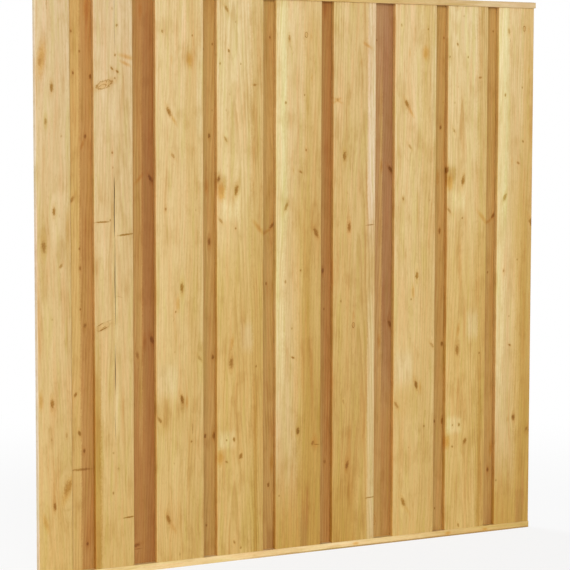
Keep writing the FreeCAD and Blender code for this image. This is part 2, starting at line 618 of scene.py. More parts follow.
        across = sheet.minus(sheet["Across"], sheet["Centre across"])
        along = sheet.minus(sheet["Along"], sheet["Centre along"])
        sine, cosine = sheet.math("SINE", sheet["Lean"]), sheet.math("COSINE", sheet["Lean"])
        leaned = sheet.minus(sheet.times(across, cosine), sheet.times(along, sine))
        raised = sheet.plus(sheet.times(across, sine), sheet.times(along, cosine))
        wide, high = squared(leaned, "Half width"), squared(raised, "Half height")
        torn = sheet.math("MULTIPLY_ADD", sheet["Ragged"], self.KNOT_FRAY, -self.KNOT_FRAY / 2)
        distance = sheet.plus(sheet.math("SQRT", sheet.plus(wide, high)), torn)
        tail = sheet.plus(wide, sheet.times(high, self.HALO_TAIL))
        tail_distance = sheet.plus(sheet.math("SQRT", tail), torn)
        core = sheet.ramp(distance, *self.KNOT_EDGE)
        halo = sheet.ramp(tail_distance, *self.HALO_EDGE)
        off_ring = sheet.math("ABSOLUTE", sheet.minus(distance, 1.0))
        ring = sheet.ramp(off_ring, 0.0, self.RING_BREADTH, 1.0, 0.0)
        core_mask = sheet.times(core, sheet["Core strength"])
        ring_mask = sheet.times(ring, sheet["Ring strength"])
        halo_mask = sheet.times(halo, sheet["Halo strength"])
        dark = sheet.math("MAXIMUM", core_mask, ring_mask)
        fade = sheet.plus(
            sheet.times(squared(across, "Half width"), self.BEND_ACROSS),
            sheet.times(squared(along, "Half height"), self.BEND_ALONG),
        )
        bend = sheet.times(sheet.times(across, sheet["Push"]), sheet.math("EXPONENT", fade))
        return sheet.give({
            "Shift": (VALUE, sheet.plus(sheet["Shift"], bend)),
            "Core": (VALUE, sheet.math("MAXIMUM", sheet["Core"], dark)),
            "Halo": (VALUE, sheet.math("MAXIMUM", sheet["Halo"], halo_mask)),
        })

    def grain_group(self) -> bpy.types.NodeTree:
        """Pine grain: growth rings round the tree's middle, fibres, and slow drifts of colour.

        Returns:
            The group.
        """
        sheet = GroupSheet("Pine grain", "ShaderNodeTree", {
            "Across": 0.0, "Along": 0.0, "Depth": 0.0, "Shift": 0.0, "Seed": 0.0,
            "Pith across": 0.0, "Pith depth": 0.06, "Ring gap": 0.004, "Contrast": 0.3, "Clouds": 0.5,
            "Ground": self.GROUND,
        })

        def field(place: Socket, noise: GrainNoise, level: Socket) -> Socket:
            """A noise laid over the grain, at a level of its own."""
            spot = sheet.vector(
                sheet.times(place, noise.across), sheet.plus(level, noise.apart),
                sheet.times(sheet["Along"], noise.along),
            )
            return sheet.noise(spot, 1.0, noise.detail)

        def share(noise: Socket, wash: Wash) -> Socket:
            """How much of a tint a noise brings in."""
            return sheet.times(sheet.ramp(noise, wash.none, wash.full), wash.share)

        def swing(noise: Socket, width: float) -> Socket:
            """A noise as a shift to either side."""
            return sheet.math("MULTIPLY_ADD", noise, width, -width / 2)

        seed, clouds = sheet["Seed"], sheet["Clouds"]
        flow = sheet.minus(sheet["Across"], sheet["Shift"])
        wander = swing(field(flow, self.WANDER, seed), self.WANDER_WIDTH)
        ripple = swing(field(flow, self.RIPPLE, seed), self.RIPPLE_WIDTH)
        bent = sheet.plus(flow, sheet.plus(wander, ripple))
        off_pith = sheet.minus(bent, sheet["Pith across"])
        deep = sheet.minus(sheet["Depth"], sheet["Pith depth"])
        squares = sheet.plus(sheet.times(off_pith, off_pith), sheet.times(deep, deep))
        radius = sheet.math("MULTIPLY_ADD", sheet["Along"], self.TRUNK_TAPER, sheet.math("SQRT", squares))
        year = sheet.math("FRACT", sheet.math("DIVIDE", radius, sheet["Ring gap"]))
        late = sheet.times(sheet.ramp(year, *self.LATE_RISE), sheet.ramp(year, *self.LATE_END))
        patch = field(bent, self.PATCH, seed)
        rings = sheet.times(late, sheet.ramp(patch, *self.PATCHED))
        drift = field(bent, self.DRIFT, seed)
        hue = field(bent, self.HUE, seed)
        blotch = field(flow, self.BLOTCH, seed)
        streak = field(bent, self.STREAK, seed)
        fleck = field(flow, self.FLECK, seed)
        fibre = field(flow, self.FIBRE, sheet["Depth"])
        ground = sheet["Ground"]
        pale = sheet.blend(1.0, ground, self.PALE, "MULTIPLY")
        colour = ground
        for amount, colour_over in (
            (sheet.times(share(drift, self.WARMED), clouds), self.GOLDEN),
            (sheet.times(share(drift, self.COOLED), clouds), self.PALE),
            (share(hue, self.FLUSHED), self.ROSY),
            (share(hue, self.MOSSED), self.MOSSY),
            (share(blotch, self.BLOTCHED), self.TANNED),
        ):
            colour = sheet.blend(amount, colour, colour_over, "MULTIPLY")
        deepened = sheet.blend(1.0, colour, self.LATE_WOOD, "MULTIPLY")
        for amount, colour_over in (
            (sheet.times(rings, sheet["Contrast"]), deepened),
            (share(streak, self.STREAKED), deepened),
            (share(streak, self.LIT), pale),
            (share(fleck, self.FLECKED), deepened),
            (share(fibre, self.FIBRED), deepened),
        ):
            colour = sheet.blend(amount, colour, colour_over)
        relief = sheet.math("MULTIPLY_ADD", rings, self.RING_RELIEF, sheet.times(fibre, self.FIBRE_RELIEF))
        return sheet.give({
            "Colour": (COLOUR, colour),
            "Height": (VALUE, relief),
            "Roughness": (VALUE, sheet.math("MULTIPLY_ADD", fibre, self.FIBRE_ROUGHNESS, self.ROUGHNESS)),
        })

    def stripe_group(self) -> bpy.types.NodeTree:
        """A soft streak of another colour along the grain.

        Returns:
            The group.
        """
        sheet = GroupSheet("Grain stripe", "ShaderNodeTree", {
            "Colour": self.GROUND, "Across": 0.0, "Along": 0.0, "Ragged": 0.5,
            "From": 0.0, "To": 0.01, "Low": 0.0, "High": 1.8, "Edge": 0.006, "Fade": 0.12,
            "Stripe colour": self.GROUND, "Strength": 0.5,
        })
        wavy = sheet.math("MULTIPLY_ADD", sheet["Ragged"], sheet["Edge"], sheet["Across"])
        half = sheet.times(sheet["Edge"], 0.5)
        placed = sheet.minus(wavy, half)
        mask = sheet["Strength"]
        for side, start, end in (("From", 0.0, 1.0), ("To", 1.0, 0.0)):
            outer, inner = sheet.minus(sheet[side], half), sheet.plus(sheet[side], half)
            mask = sheet.times(mask, sheet.ramp(placed, outer, inner, start, end))
        foot_end = sheet.plus(sheet["Low"], sheet["Fade"])
        head_start = sheet.minus(sheet["High"], sheet["Fade"])
        foot = sheet.ramp(sheet["Along"], sheet["Low"], foot_end)
        head = sheet.ramp(sheet["Along"], head_start, sheet["High"], 1.0, 0.0)
        share = sheet.times(mask, sheet.times(foot, head))
        return sheet.give({
            "Colour": (COLOUR, sheet.blend(share, sheet["Colour"], sheet["Stripe colour"])),
        })

    def stain_group(self) -> bpy.types.NodeTree:
        """The brown of the knots and of the wood round them.

        Returns:
            The group.
        """
        sheet = GroupSheet("Knot stain", "ShaderNodeTree", {
            "Colour": self.GROUND, "Core": 0.0, "Halo": 0.0, "Ragged": 0.5,
        })
        halo = sheet.times(sheet["Halo"], self.HALO_SHARE)
        haloed = sheet.blend(halo, sheet["Colour"], self.KNOT_HALO, "MULTIPLY")
        rough = sheet.times(sheet["Core"], sheet.ramp(sheet["Ragged"], *self.SPECKLE))
        browned = sheet.blend(sheet.ramp(rough, *self.BROWNED), haloed, self.KNOT_BROWN, "MULTIPLY")
        darkened = sheet.blend(sheet.ramp(rough, *self.DARKENED), browned, self.KNOT_DARK, "MULTIPLY")
        return sheet.give({"Colour": (COLOUR, darkened)})

    def side_shade_group(self) -> bpy.types.NodeTree:
        """Painted shade on a board's sides: a warmer, darker brown that stands in for the shade and warm
        bounce light between the boards.

        Returns:
            The group.
        """
        sheet = GroupSheet("Painted side shade", "ShaderNodeTree", {
            "Colour": self.GROUND, "Across": 0.0, "Middle": 0.0, "Half width": 0.07,
        })
        off = sheet.math("ABSOLUTE", sheet.minus(sheet["Across"], sheet["Middle"]))
        mask = sheet.ramp(sheet.minus(sheet["Half width"], off), *self.SIDE_SHADE_INSET)
        return sheet.give({
            "Colour": (COLOUR, sheet.blend(mask, sheet["Colour"], self.SIDE_SHADE_TINT, "MULTIPLY")),
        })


@dataclass
class PineMaterial:
    """The material of one piece of pine, with its own knots and streaks.

    Attributes:
        name: The material's name.
        finish: The piece's finish.
        run: The way that its grain runs.
        low: The piece's lowest corner.
        high: Its highest corner.
        shaders: The shared groups.
        datum: The edge that knots and streaks are measured from, as an X, or as a Z in a level piece.
        knots: Its knots.
        stripes: Its streaks.
        cracks: The cracks cut in it.
        side_shade: Whether its sides get painted shade, a warmer, darker brown.
    """

    name: str
    finish: PineFinish
    run: Run
    low: Vector
    high: Vector
    shaders: PineShaders
    datum: float
    knots: tuple[Knot, ...] = ()
    stripes: tuple[Stripe, ...] = ()
    cracks: tuple["DryingCrack", ...] = ()
    side_shade: bool = False

    # Painted shade in the cracks: the dark brown laid on their walls behind the face.
    CRACK_SHADE_COLOUR: ClassVar[Colour] = tint(84, 56, 26)
    CRACK_LIP: ClassVar[tuple[float, float]] = (0.0002, 0.0015)
    CRACK_SHADE: ClassVar[float] = 0.95
    CRACK_FADE: ClassVar[float] = 0.02
    FRAY_SCALE: ClassVar[float] = 150.0
    SPECKLE_SCALE: ClassVar[float] = 420.0
    RELIEF: ClassVar[float] = 0.22
    RELIEF_DEPTH: ClassVar[float] = 0.0006
    GLOSS: ClassVar[float] = 0.35

    def across_at(self, side: float) -> float:
        """A place across the grain, in metres, from its millimetres off the datum edge."""
        return self.datum + side * MILLIMETRE

    def knot_masks(
        self, sheet: NodeSheet, across: Socket, along: Socket, ragged: Socket,
    ) -> tuple[Feed, Feed, Feed]:
        """Chain the piece's knots.

        Args:
            sheet: The material's sheet.
            across: Place across the grain.
            along: Place along the grain.
            ragged: The noise that frays a knot's rim.

        Returns:
            The grain's sideways shift, and the masks of the knots' cores and halos.
        """
        shift, core, halo = 0.0, 0.0, 0.0
        for knot in self.knots:
            form = knot.kind.value
            node = sheet.group(self.shaders.knot, {
                "Across": across, "Along": along, "Ragged": ragged,
                "Shift": shift, "Core": core, "Halo": halo,
                "Centre across": self.across_at(knot.side), "Centre along": knot.along,
                "Half width": form.wide * knot.size * MILLIMETRE,
                "Half height": form.high * knot.size * MILLIMETRE,
                "Lean": math.radians(knot.lean), "Push": form.push,
                "Core strength": form.core * knot.dark,
                "Halo strength": form.halo * knot.dark,
                "Ring strength": form.ring * knot.dark,
            })
            shift, core, halo = node.outputs["Shift"], node.outputs["Core"], node.outputs["Halo"]
        return shift, core, halo

    def ground(self, sheet: NodeSheet, across: Socket, along: Socket, ragged: Socket) -> Socket:
        """The piece's tones from foot to head, with its streaks.

        Args:
            sheet: The material's sheet.
            across: Place across the grain.
            along: Place along the grain.
            ragged: The noise that frays a streak's sides.

        Returns:
            The colour under the grain.
        """
        upright = self.run is Run.UPRIGHT
        start, end = (self.low.z, self.high.z) if upright else (self.low.x, self.high.x)
        ramp_from, ramp_to = self.finish.ramp
        climbed = sheet.minus(along, start + (end - start) * ramp_from)
        share = sheet.math("DIVIDE", climbed, (end - start) * (ramp_to - ramp_from))
        colour = sheet.blend(share, self.finish.foot.value, self.finish.head.value)
        for stripe in self.stripes:
            node = sheet.group(self.shaders.stripe, {
                "Colour": colour, "Across": across, "Along": along, "Ragged": ragged,
                "From": self.across_at(stripe.left), "To": self.across_at(stripe.right),
                "Low": stripe.low, "High": stripe.high,
                "Edge": stripe.edge * MILLIMETRE, "Fade": stripe.fade,
                "Stripe colour": stripe.tone.value, "Strength": stripe.strength,
            })
            colour = node.outputs["Colour"]
        return colour

    def paint_crack_shade(
        self, sheet: NodeSheet, across: Socket, along: Socket, deep: Socket, colour: Socket,
    ) -> Socket:
        """Paint shade on the walls of the piece's cracks.

        Args:
            sheet: The material's sheet.
            across: Place across the grain.
            along: Place along the grain.
            deep: Depth behind the face.
            colour: The wood's colour.

        Returns:
            The colour with painted shade in the cracks.
        """
        for crack in self.cracks:
            middle = self.across_at(crack.side)
            opened = sheet.ramp(deep, *self.CRACK_LIP, 0.0, self.CRACK_SHADE)
            closed = sheet.ramp(deep, crack.depth, crack.depth + MILLIMETRE, 1.0, 0.0)
            node = sheet.group(self.shaders.stripe, {
                "Colour": colour, "Across": across, "Along": along,
                "From": middle - crack.REACH, "To": middle + crack.REACH,
                "Low": crack.low, "High": crack.high,
                "Edge": MILLIMETRE, "Fade": self.CRACK_FADE, "Stripe colour": self.CRACK_SHADE_COLOUR,
                "Strength": sheet.times(opened, closed),
            })
            colour = node.outputs["Colour"]
        return colour

    def build(self) -> bpy.types.Material:
        """Build the material.

        Returns:
            The material.
        """
        material = bpy.data.materials.new(self.name)
        sheet = SurfaceSheet(material)
        spot = sheet.spot()
        x, y, z = sheet.split(spot)
        upright = self.run is Run.UPRIGHT
        across, along = (x, z) if upright else (z, x)
        ragged = sheet.noise(spot, self.FRAY_SCALE)
        shift, core, halo = self.knot_masks(sheet, across, along, ragged)
        middle = (self.low + self.high) / 2
        width = self.high.x - self.low.x
        pith = middle.x + self.finish.pith * width if upright else middle.z
        grain = sheet.group(self.shaders.grain, {
            "Across": across, "Along": along, "Depth": y, "Shift": shift, "Seed": self.finish.seed,
            "Pith across": pith, "Pith depth": self.low.y + self.finish.behind,
            "Ring gap": self.finish.ring_gap, "Contrast": self.finish.contrast,
            "Clouds": self.finish.clouds, "Ground": self.ground(sheet, across, along, ragged),
        })
        colour = grain.outputs["Colour"]
        if self.knots:
            speckle = sheet.noise(spot, self.SPECKLE_SCALE)
            stained = sheet.group(self.shaders.stain, {
                "Colour": colour, "Core": core, "Halo": halo, "Ragged": speckle})
            colour = stained.outputs["Colour"]
        colour = self.paint_crack_shade(sheet, across, along, sheet.minus(y, self.low.y), colour)
        # Painted shade: a warmer, darker brown on the board's sides stands in for the shade and bounce light
        # between the boards.
        if self.side_shade:
            sides = sheet.group(self.shaders.side_shade, {
                "Colour": colour, "Across": across, "Middle": middle.x, "Half width": width / 2})
            colour = sides.outputs["Colour"]
        bump = sheet.put("ShaderNodeBump", {
            "Strength": self.RELIEF, "Distance": self.RELIEF_DEPTH, "Height": grain.outputs["Height"]})
        shader = sheet.put("ShaderNodeBsdfPrincipled", {
            "Base Color": colour, "Roughness": grain.outputs["Roughness"],
            "Normal": bump.outputs["Normal"], "Specular IOR Level": self.GLOSS})
        sheet.surface(shader.outputs["BSDF"])
        return material


class NodesMaker:
    """A Geometry Nodes tree and the plain meshes that it makes."""

    def __init__(self, sheet: GroupSheet) -> None:
        """Keep the tree's sheet."""
        self.sheet = sheet

    def make(
        self, name: str, values: dict[str, object], points: list[Vector] | None = None,
    ) -> bpy.types.Object:
        """Run the tree and keep its result as a plain mesh object.

        Args:
            name: The piece's name.
            values: Input name to its value.
            points: Places that the tree works on, if it takes any.

        Returns:
            The piece, at the origin, with no modifier left.
        """
        seed_mesh = bpy.data.meshes.new(name + "_points")
        seed_mesh.from_pydata([tuple(point) for point in points or []], [], [])
        piece = bpy.data.objects.new(name, seed_mesh)
        bpy.context.scene.collection.objects.link(piece)
        modifier = piece.modifiers.new("Shape", "NODES")
        modifier.node_group = self.sheet.tree
        for key, value in values.items():
            modifier[self.sheet.keys[key]] = value
        evaluated = piece.evaluated_get(bpy.context.evaluated_depsgraph_get())
        mesh = bpy.data.meshes.new_from_object(evaluated)
        piece.modifiers.clear()
        piece.data = mesh
        mesh.name = name
        bpy.data.meshes.remove(seed_mesh)
        return piece


def board_tree() -> GroupSheet:
    """The tree of a planed board: a section with eased arrises, run up a line that wanders a little.

    Returns:
        The tree's sheet.
    """
    sheet = GroupSheet("Planed board", "GeometryNodeTree", {
        "Width": 0.14, "Thickness": 0.018, "Length": 1.756, "Arris": 0.0025, "Arris steps": 4, "Steps": 40,
        "Wander": 0.0006, "Bends": 2.4, "Sides apart": 7.3, "Seed": 0.0, "Crease": math.radians(40),
        "Middle X": 0.0, "Middle Y": 0.0, "Foot Z": 0.0, "Wood": "NodeSocketMaterial",
    })
    section = sheet.first("GeometryNodeCurvePrimitiveQuadrilateral", {
        "Width": sheet["Width"], "Height": sheet["Thickness"]})
    eased = sheet.first("GeometryNodeFilletCurve", {
        "Curve": section, "Count": sheet["Arris steps"], "Radius": sheet["Arris"], "Limit Radius": True,
    }, mode="POLY")
    line = sheet.first("GeometryNodeCurvePrimitiveLine", {
        "Start": (0.0, 0.0, 0.0), "End": sheet.vector(0.0, 0.0, sheet["Length"])})
    stepped = sheet.first("GeometryNodeResampleCurve", {"Curve": line, "Count": sheet["Steps"]})
    run = sheet.first("GeometryNodeCurveToMesh", {
        "Curve": stepped, "Profile Curve": eased, "Fill Caps": True})
    x, _, z = sheet.split(sheet.first("GeometryNodeInputPosition", {}))
    side = sheet.math("MULTIPLY_ADD", sheet.math("SIGN", x), sheet["Sides apart"], sheet["Seed"])
    drift = sheet.noise(sheet.vector(sheet.times(z, sheet["Bends"]), side, 0.5), 1.0)
    pull = sheet.times(sheet.minus(drift, 0.5), sheet.times(sheet["Wander"], 2.0))
    moved = sheet.first("GeometryNodeSetPosition", {
        "Geometry": run, "Offset": sheet.vector(pull, 0.0, 0.0)})
    placed = sheet.first("GeometryNodeTransform", {
        "Geometry": moved,
        "Translation": sheet.vector(sheet["Middle X"], sheet["Middle Y"], sheet["Foot Z"]),
    })
    angle = sheet.first("GeometryNodeInputMeshEdgeAngle", {})
    soft = sheet.first("FunctionNodeCompare", {"A": angle, "B": sheet["Crease"]}, operation="LESS_THAN")
    faces = sheet.first("GeometryNodeSetShadeSmooth", {"Geometry": placed, "Shade Smooth": True})
    edges = sheet.first("GeometryNodeSetShadeSmooth", {
        "Geometry": faces, "Shade Smooth": soft}, domain="EDGE")
    sheet.give_dressed(edges, sheet["Wood"])
    return sheet


def screw_tree() -> GroupSheet:
    """The tree of a set of countersunk wood screws: one screw, put on every point with its own turn.

    Returns:
        The tree's sheet.
    """
    sheet = GroupSheet("Countersunk screws", "GeometryNodeTree", {
        "Heads": GEOMETRY, "Head radius": 0.0045, "Head rim": 0.0006, "Head sides": 32,
        "Shank radius": 0.00225, "Shank sides": 16, "Core radius": 0.0016, "Core sides": 12,
        "Length": 0.056, "Point length": 0.006, "Tip radius": 0.0001, "Thread length": 0.034,
        "Thread pitch": 0.0026, "Thread steps": 10, "Crest sides": 4, "Recess width": 0.0036,
        "Recess depth": 0.0018, "Weld": 0.000002, "Overlap": 0.0002,
        "Facing": "NodeSocketRotation", "Seed": 5, "Zinc": "NodeSocketMaterial",
    })

    def lowered(mesh: Socket, drop: Feed) -> Socket:
        """A mesh moved down from the head's face."""
        shift = sheet.vector(0.0, 0.0, sheet.times(drop, -1.0))
        return sheet.first("GeometryNodeTransform", {"Geometry": mesh, "Translation": shift})

    def frustum(top: Feed, foot: Feed, depth: Feed, sides: str) -> Socket:
        """A cone cut short, standing on its foot."""
        feeds = {"Vertices": sheet[sides], "Radius Top": top, "Radius Bottom": foot, "Depth": depth}
        return sheet.first("GeometryNodeMeshCone", feeds)

    def rod(top: Feed, foot: Feed, depth: Feed, sides: str) -> Socket:
        """A frustum that reaches a little into the piece above it."""
        return frustum(top, foot, sheet.plus(depth, sheet["Overlap"]), sides)

    head_radius, shank_radius = sheet["Head radius"], sheet["Shank radius"]
    core_radius = sheet["Core radius"]
    taper = sheet.minus(head_radius, shank_radius)
    head_depth = sheet.plus(sheet["Head rim"], taper)
    rim = lowered(frustum(head_radius, head_radius, sheet["Head rim"], "Head sides"), sheet["Head rim"])
    cone = lowered(frustum(head_radius, shank_radius, taper, "Head sides"), head_depth)
    whole = sheet.add("GeometryNodeMeshBoolean", operation="UNION", solver="EXACT")
    for mesh in (rim, cone):
        sheet.tree.links.new(mesh, whole.inputs["Mesh 2"])
    recess = sheet.first("GeometryNodeMeshCube", {
        "Size": sheet.vector(
            sheet["Recess width"], sheet["Recess width"], sheet.times(sheet["Recess depth"], 2.0)),
    })
    head = sheet.first("GeometryNodeMeshBoolean", {
        "Mesh 1": whole.outputs["Mesh"], "Mesh 2": recess}, operation="DIFFERENCE", solver="EXACT")
    welded = sheet.first("GeometryNodeMergeByDistance", {"Geometry": head, "Distance": sheet["Weld"]})
    body_end = sheet.minus(sheet["Length"], sheet["Point length"])
    thread_top = sheet.minus(sheet["Length"], sheet["Thread length"])
    shank_length = sheet.minus(thread_top, head_depth)
    core_length = sheet.minus(body_end, thread_top)
    nested = sheet.minus(core_radius, sheet["Tip radius"])
    shank = lowered(rod(shank_radius, shank_radius, shank_length, "Shank sides"), thread_top)
    core = lowered(rod(core_radius, core_radius, core_length, "Core sides"), body_end)
    point = lowered(rod(nested, sheet["Tip radius"], sheet["Point length"], "Core sides"), sheet["Length"])
    spiral = sheet.first("GeometryNodeCurveSpiral", {
        "Resolution": sheet["Thread steps"],
        "Rotations": sheet.math("DIVIDE", core_length, sheet["Thread pitch"]),
        "Start Radius": core_radius, "End Radius": core_radius, "Height": core_length,
    })
    crest = sheet.first("GeometryNodeCurvePrimitiveCircle", {
        "Resolution": sheet["Crest sides"], "Radius": sheet.minus(shank_radius, core_radius)})
    thread = lowered(sheet.first("GeometryNodeCurveToMesh", {
        "Curve": spiral, "Profile Curve": crest, "Fill Caps": True}), body_end)
    screw = sheet.add("GeometryNodeJoinGeometry")
    for part in (welded, shank, core, point, thread):
        sheet.tree.links.new(part, screw.inputs["Geometry"])
    turn = sheet.put("FunctionNodeRandomValue", {3: math.tau, "Seed": sheet["Seed"]}, data_type="FLOAT")
    spin = sheet.first("FunctionNodeAxisAngleToRotation", {
        "Axis": (0.0, 0.0, 1.0), "Angle": turn.outputs[1]})
    facing = sheet.first("FunctionNodeRotateRotation", {
        "Rotation": sheet["Facing"], "Rotate By": spin}, rotation_space="LOCAL")
    spread = sheet.first("GeometryNodeInstanceOnPoints", {
        "Points": sheet["Heads"], "Instance": screw.outputs["Geometry"], "Rotation": facing})
    sheet.give_dressed(spread, sheet["Zinc"])
    return sheet


@dataclass(frozen=True)
class BoardLook:
    """One board's finish, knots and streaks.

    Where a look comes again, its knots and streaks lie further from the height that stays still.
    """

    finish: PineFinish
    knots: tuple[Knot, ...] = ()
    stripes: tuple[Stripe, ...] = ()

    SPREAD: ClassVar[float] = 1.04
    STILL: ClassVar[float] = 0.7

    def higher(self, along: float) -> float:
        """A height as it is where the look comes again."""
        return self.STILL + (along - self.STILL) * self.SPREAD

    def again(self, seed: float, shift: float = 0.0) -> "BoardLook":
        """The same knots and streaks on another board, a little further apart.

        Args:
            seed: The other board's seed.
            shift: How far they lie to the right there, in millimetres.

        Returns:
            The other board's look.
        """
        knots = tuple(
            replace(knot, side=knot.side + shift, along=self.higher(knot.along)) for knot in self.knots)
        stripes = tuple(
            replace(stripe, low=self.higher(stripe.low), high=self.higher(stripe.high))
            for stripe in self.stripes)
        return BoardLook(replace(self.finish, seed=seed), knots, stripes)


PIN, DEAD, LIVE, RING, EYE, RESIN, SPIKE, SMEAR, WEDGE = KnotKind

BOARD_1 = BoardLook(
    PineFinish(Tone.BUFF, Tone.HONEY, seed=1.7, pith=-0.9, behind=0.05),
    (
        Knot(39, 1.75, SPIKE, 1.3, 0, 0.6), Knot(21, 1.58, WEDGE, 1.2, 6),
        Knot(17, 1.57, LIVE, 1.1, 6, 0.55), Knot(53, 1.495, LIVE), Knot(33, 1.395, LIVE, 0.75, 0, 0.8),
        Knot(83, 1.35, PIN, 1.0, 0, 0.7), Knot(58, 1.125, LIVE, 0.9), Knot(24, 1.02, LIVE, 1.4, 0, 0.85),
        Knot(79, 0.96, DEAD, 1.1, 35, 0.8), Knot(50, 0.8, PIN, 1.0, 0, 0.6), Knot(48, 0.545, LIVE, 1.1),
        Knot(12, 0.555, SMEAR), Knot(94, 0.445, LIVE, 0.7, 0, 0.6), Knot(45, 0.435, PIN, 1.0, 0, 0.6),
        Knot(97, 0.28, WEDGE, 1.1, 20, 0.8), Knot(96, 0.285, LIVE, 2.0, 20, 0.65),
        Knot(54, 0.23, LIVE, 0.85), Knot(25, 0.18, SMEAR, 1.0, -15),
    ),
    (
        Stripe(98, 130, 0.85, 1.3, Tone.MUSTARD, 0.5, 10, 0.2),
        Stripe(72, 112, 1.11, 1.21, Tone.CREAM, 0.4, 10, 0.04),
        Stripe(14, 36, 0.82, 1.0, Tone.AMBER, 0.4, 10, 0.08),
        # The pale band from 10 mm outside to 3 mm inside the left edge is a painted highlight on the board's
        # left side face and arris.
        Stripe(-10, 3, -0.2, 2.0, Tone.PEARL, 0.9, 2, 0.1),
    ),
)
BOARD_2 = BoardLook(
    PineFinish(Tone.BUFF, Tone.HONEY, seed=4.1, pith=0.1, behind=0.03),
    (
        Knot(63, 1.735, PIN, 1.0, 0, 0.6), Knot(78, 1.685, PIN, 1.1, 40), Knot(72, 1.595, PIN),
        Knot(61, 1.555, DEAD, 0.8, -40), Knot(79, 1.545, DEAD, 0.8, -50), Knot(71, 1.525, PIN, 0.9),
        Knot(112, 1.59, SMEAR, 1.0, -75), Knot(106, 1.57, SMEAR, 0.7, -65),
        Knot(35, 1.505, RING, 1.0, 68), Knot(30, 1.5, RING, 0.5, 68), Knot(44, 1.515, PIN, 0.8),
        Knot(61, 1.3, PIN), Knot(63, 1.255, PIN, 0.8, 0, 0.7), Knot(26, 1.09, SPIKE, 1.3, 88),
        Knot(54, 1.095, PIN, 0.9), Knot(103, 1.05, SPIKE, 1.5, 84), Knot(84, 0.86, SPIKE, 0.7, -75, 0.5),
        Knot(30, 0.77, RING, 0.9, 68, 0.5), Knot(18, 0.777, SPIKE, 0.65, 62, 1.1),
        Knot(28, 0.763, SPIKE, 1.0, 66, 1.15), Knot(31, 0.769, SPIKE, 0.45, 64, 1.1),
        Knot(48, 0.788, SPIKE, 0.9, 73, 0.5), Knot(60, 0.38, PIN, 1.0, 0, 0.7),
        Knot(77, 0.33, PIN, 1.0, 0, 0.6), Knot(59, 0.255, PIN), Knot(113, 0.175, SPIKE, 1.2, 86),
    ),
    (
        Stripe(-10, 20, -0.5, 0.9, Tone.AMBER, 0.95, 12, 0.45),
        Stripe(68, 78, 0.4, 1.25, Tone.CHALK, 0.25, 4, 0.2),
    ),
)
BOARD_3 = BoardLook(
    PineFinish(Tone.STRAW, Tone.HONEY, seed=7.9, pith=0.7, behind=0.05),
    (
        Knot(24, 1.67, DEAD, 0.8, -10, 0.7), Knot(126, 1.66, PIN, 0.8), Knot(117, 1.585, RESIN, 1.2),
        Knot(56, 1.585, SMEAR, 0.5, 0, 0.6), Knot(46, 1.425, LIVE, 1.1, -25),
        Knot(62, 1.4, SMEAR, 0.7, -30), Knot(59, 1.29, LIVE, 0.8, -35, 0.7),
        Knot(34, 1.125, DEAD, 0.8, 0, 0.8), Knot(137, 1.12, PIN, 0.8, 0, 0.6), Knot(89, 0.88, LIVE, 1.1),
        Knot(75, 0.83, SMEAR, 0.9), Knot(67, 0.805, PIN, 0.9), Knot(60, 0.78, SPIKE, 0.4, 30, 0.6),
        Knot(64, 0.68, PIN, 0.8, 0, 0.5), Knot(150, 0.655, LIVE, 0.9, -40, 0.6),
        Knot(89, 0.53, LIVE, 1.05, -12, 1.2), Knot(105, 0.52, SMEAR, 0.7),
        Knot(12, 0.47, LIVE, 0.9, -35, 0.8), Knot(125, 0.435, SPIKE, 0.9, 0, 0.6), Knot(121, 0.395, PIN),
        Knot(61, 0.33, PIN, 0.8, 0, 0.6), Knot(41, 0.155, LIVE, 1.2, -20),
        Knot(56, 0.13, SMEAR, 0.8, -30, 0.6), Knot(80, 0.04, PIN, 0.9, 0, 0.7),
    ),
    (
        Stripe(105, 150, -0.2, 2.0, Tone.MUSTARD, 0.5, 24, 0.3),
        Stripe(140, 158, 1.32, 1.64, Tone.CREAM, 0.5, 8, 0.05),
        Stripe(8, 72, 0.52, 0.66, Tone.CREAM, 0.5, 16, 0.05),
        Stripe(2, 95, 0.4, 0.54, Tone.MUSTARD, 0.6, 14, 0.05),
    ),
)
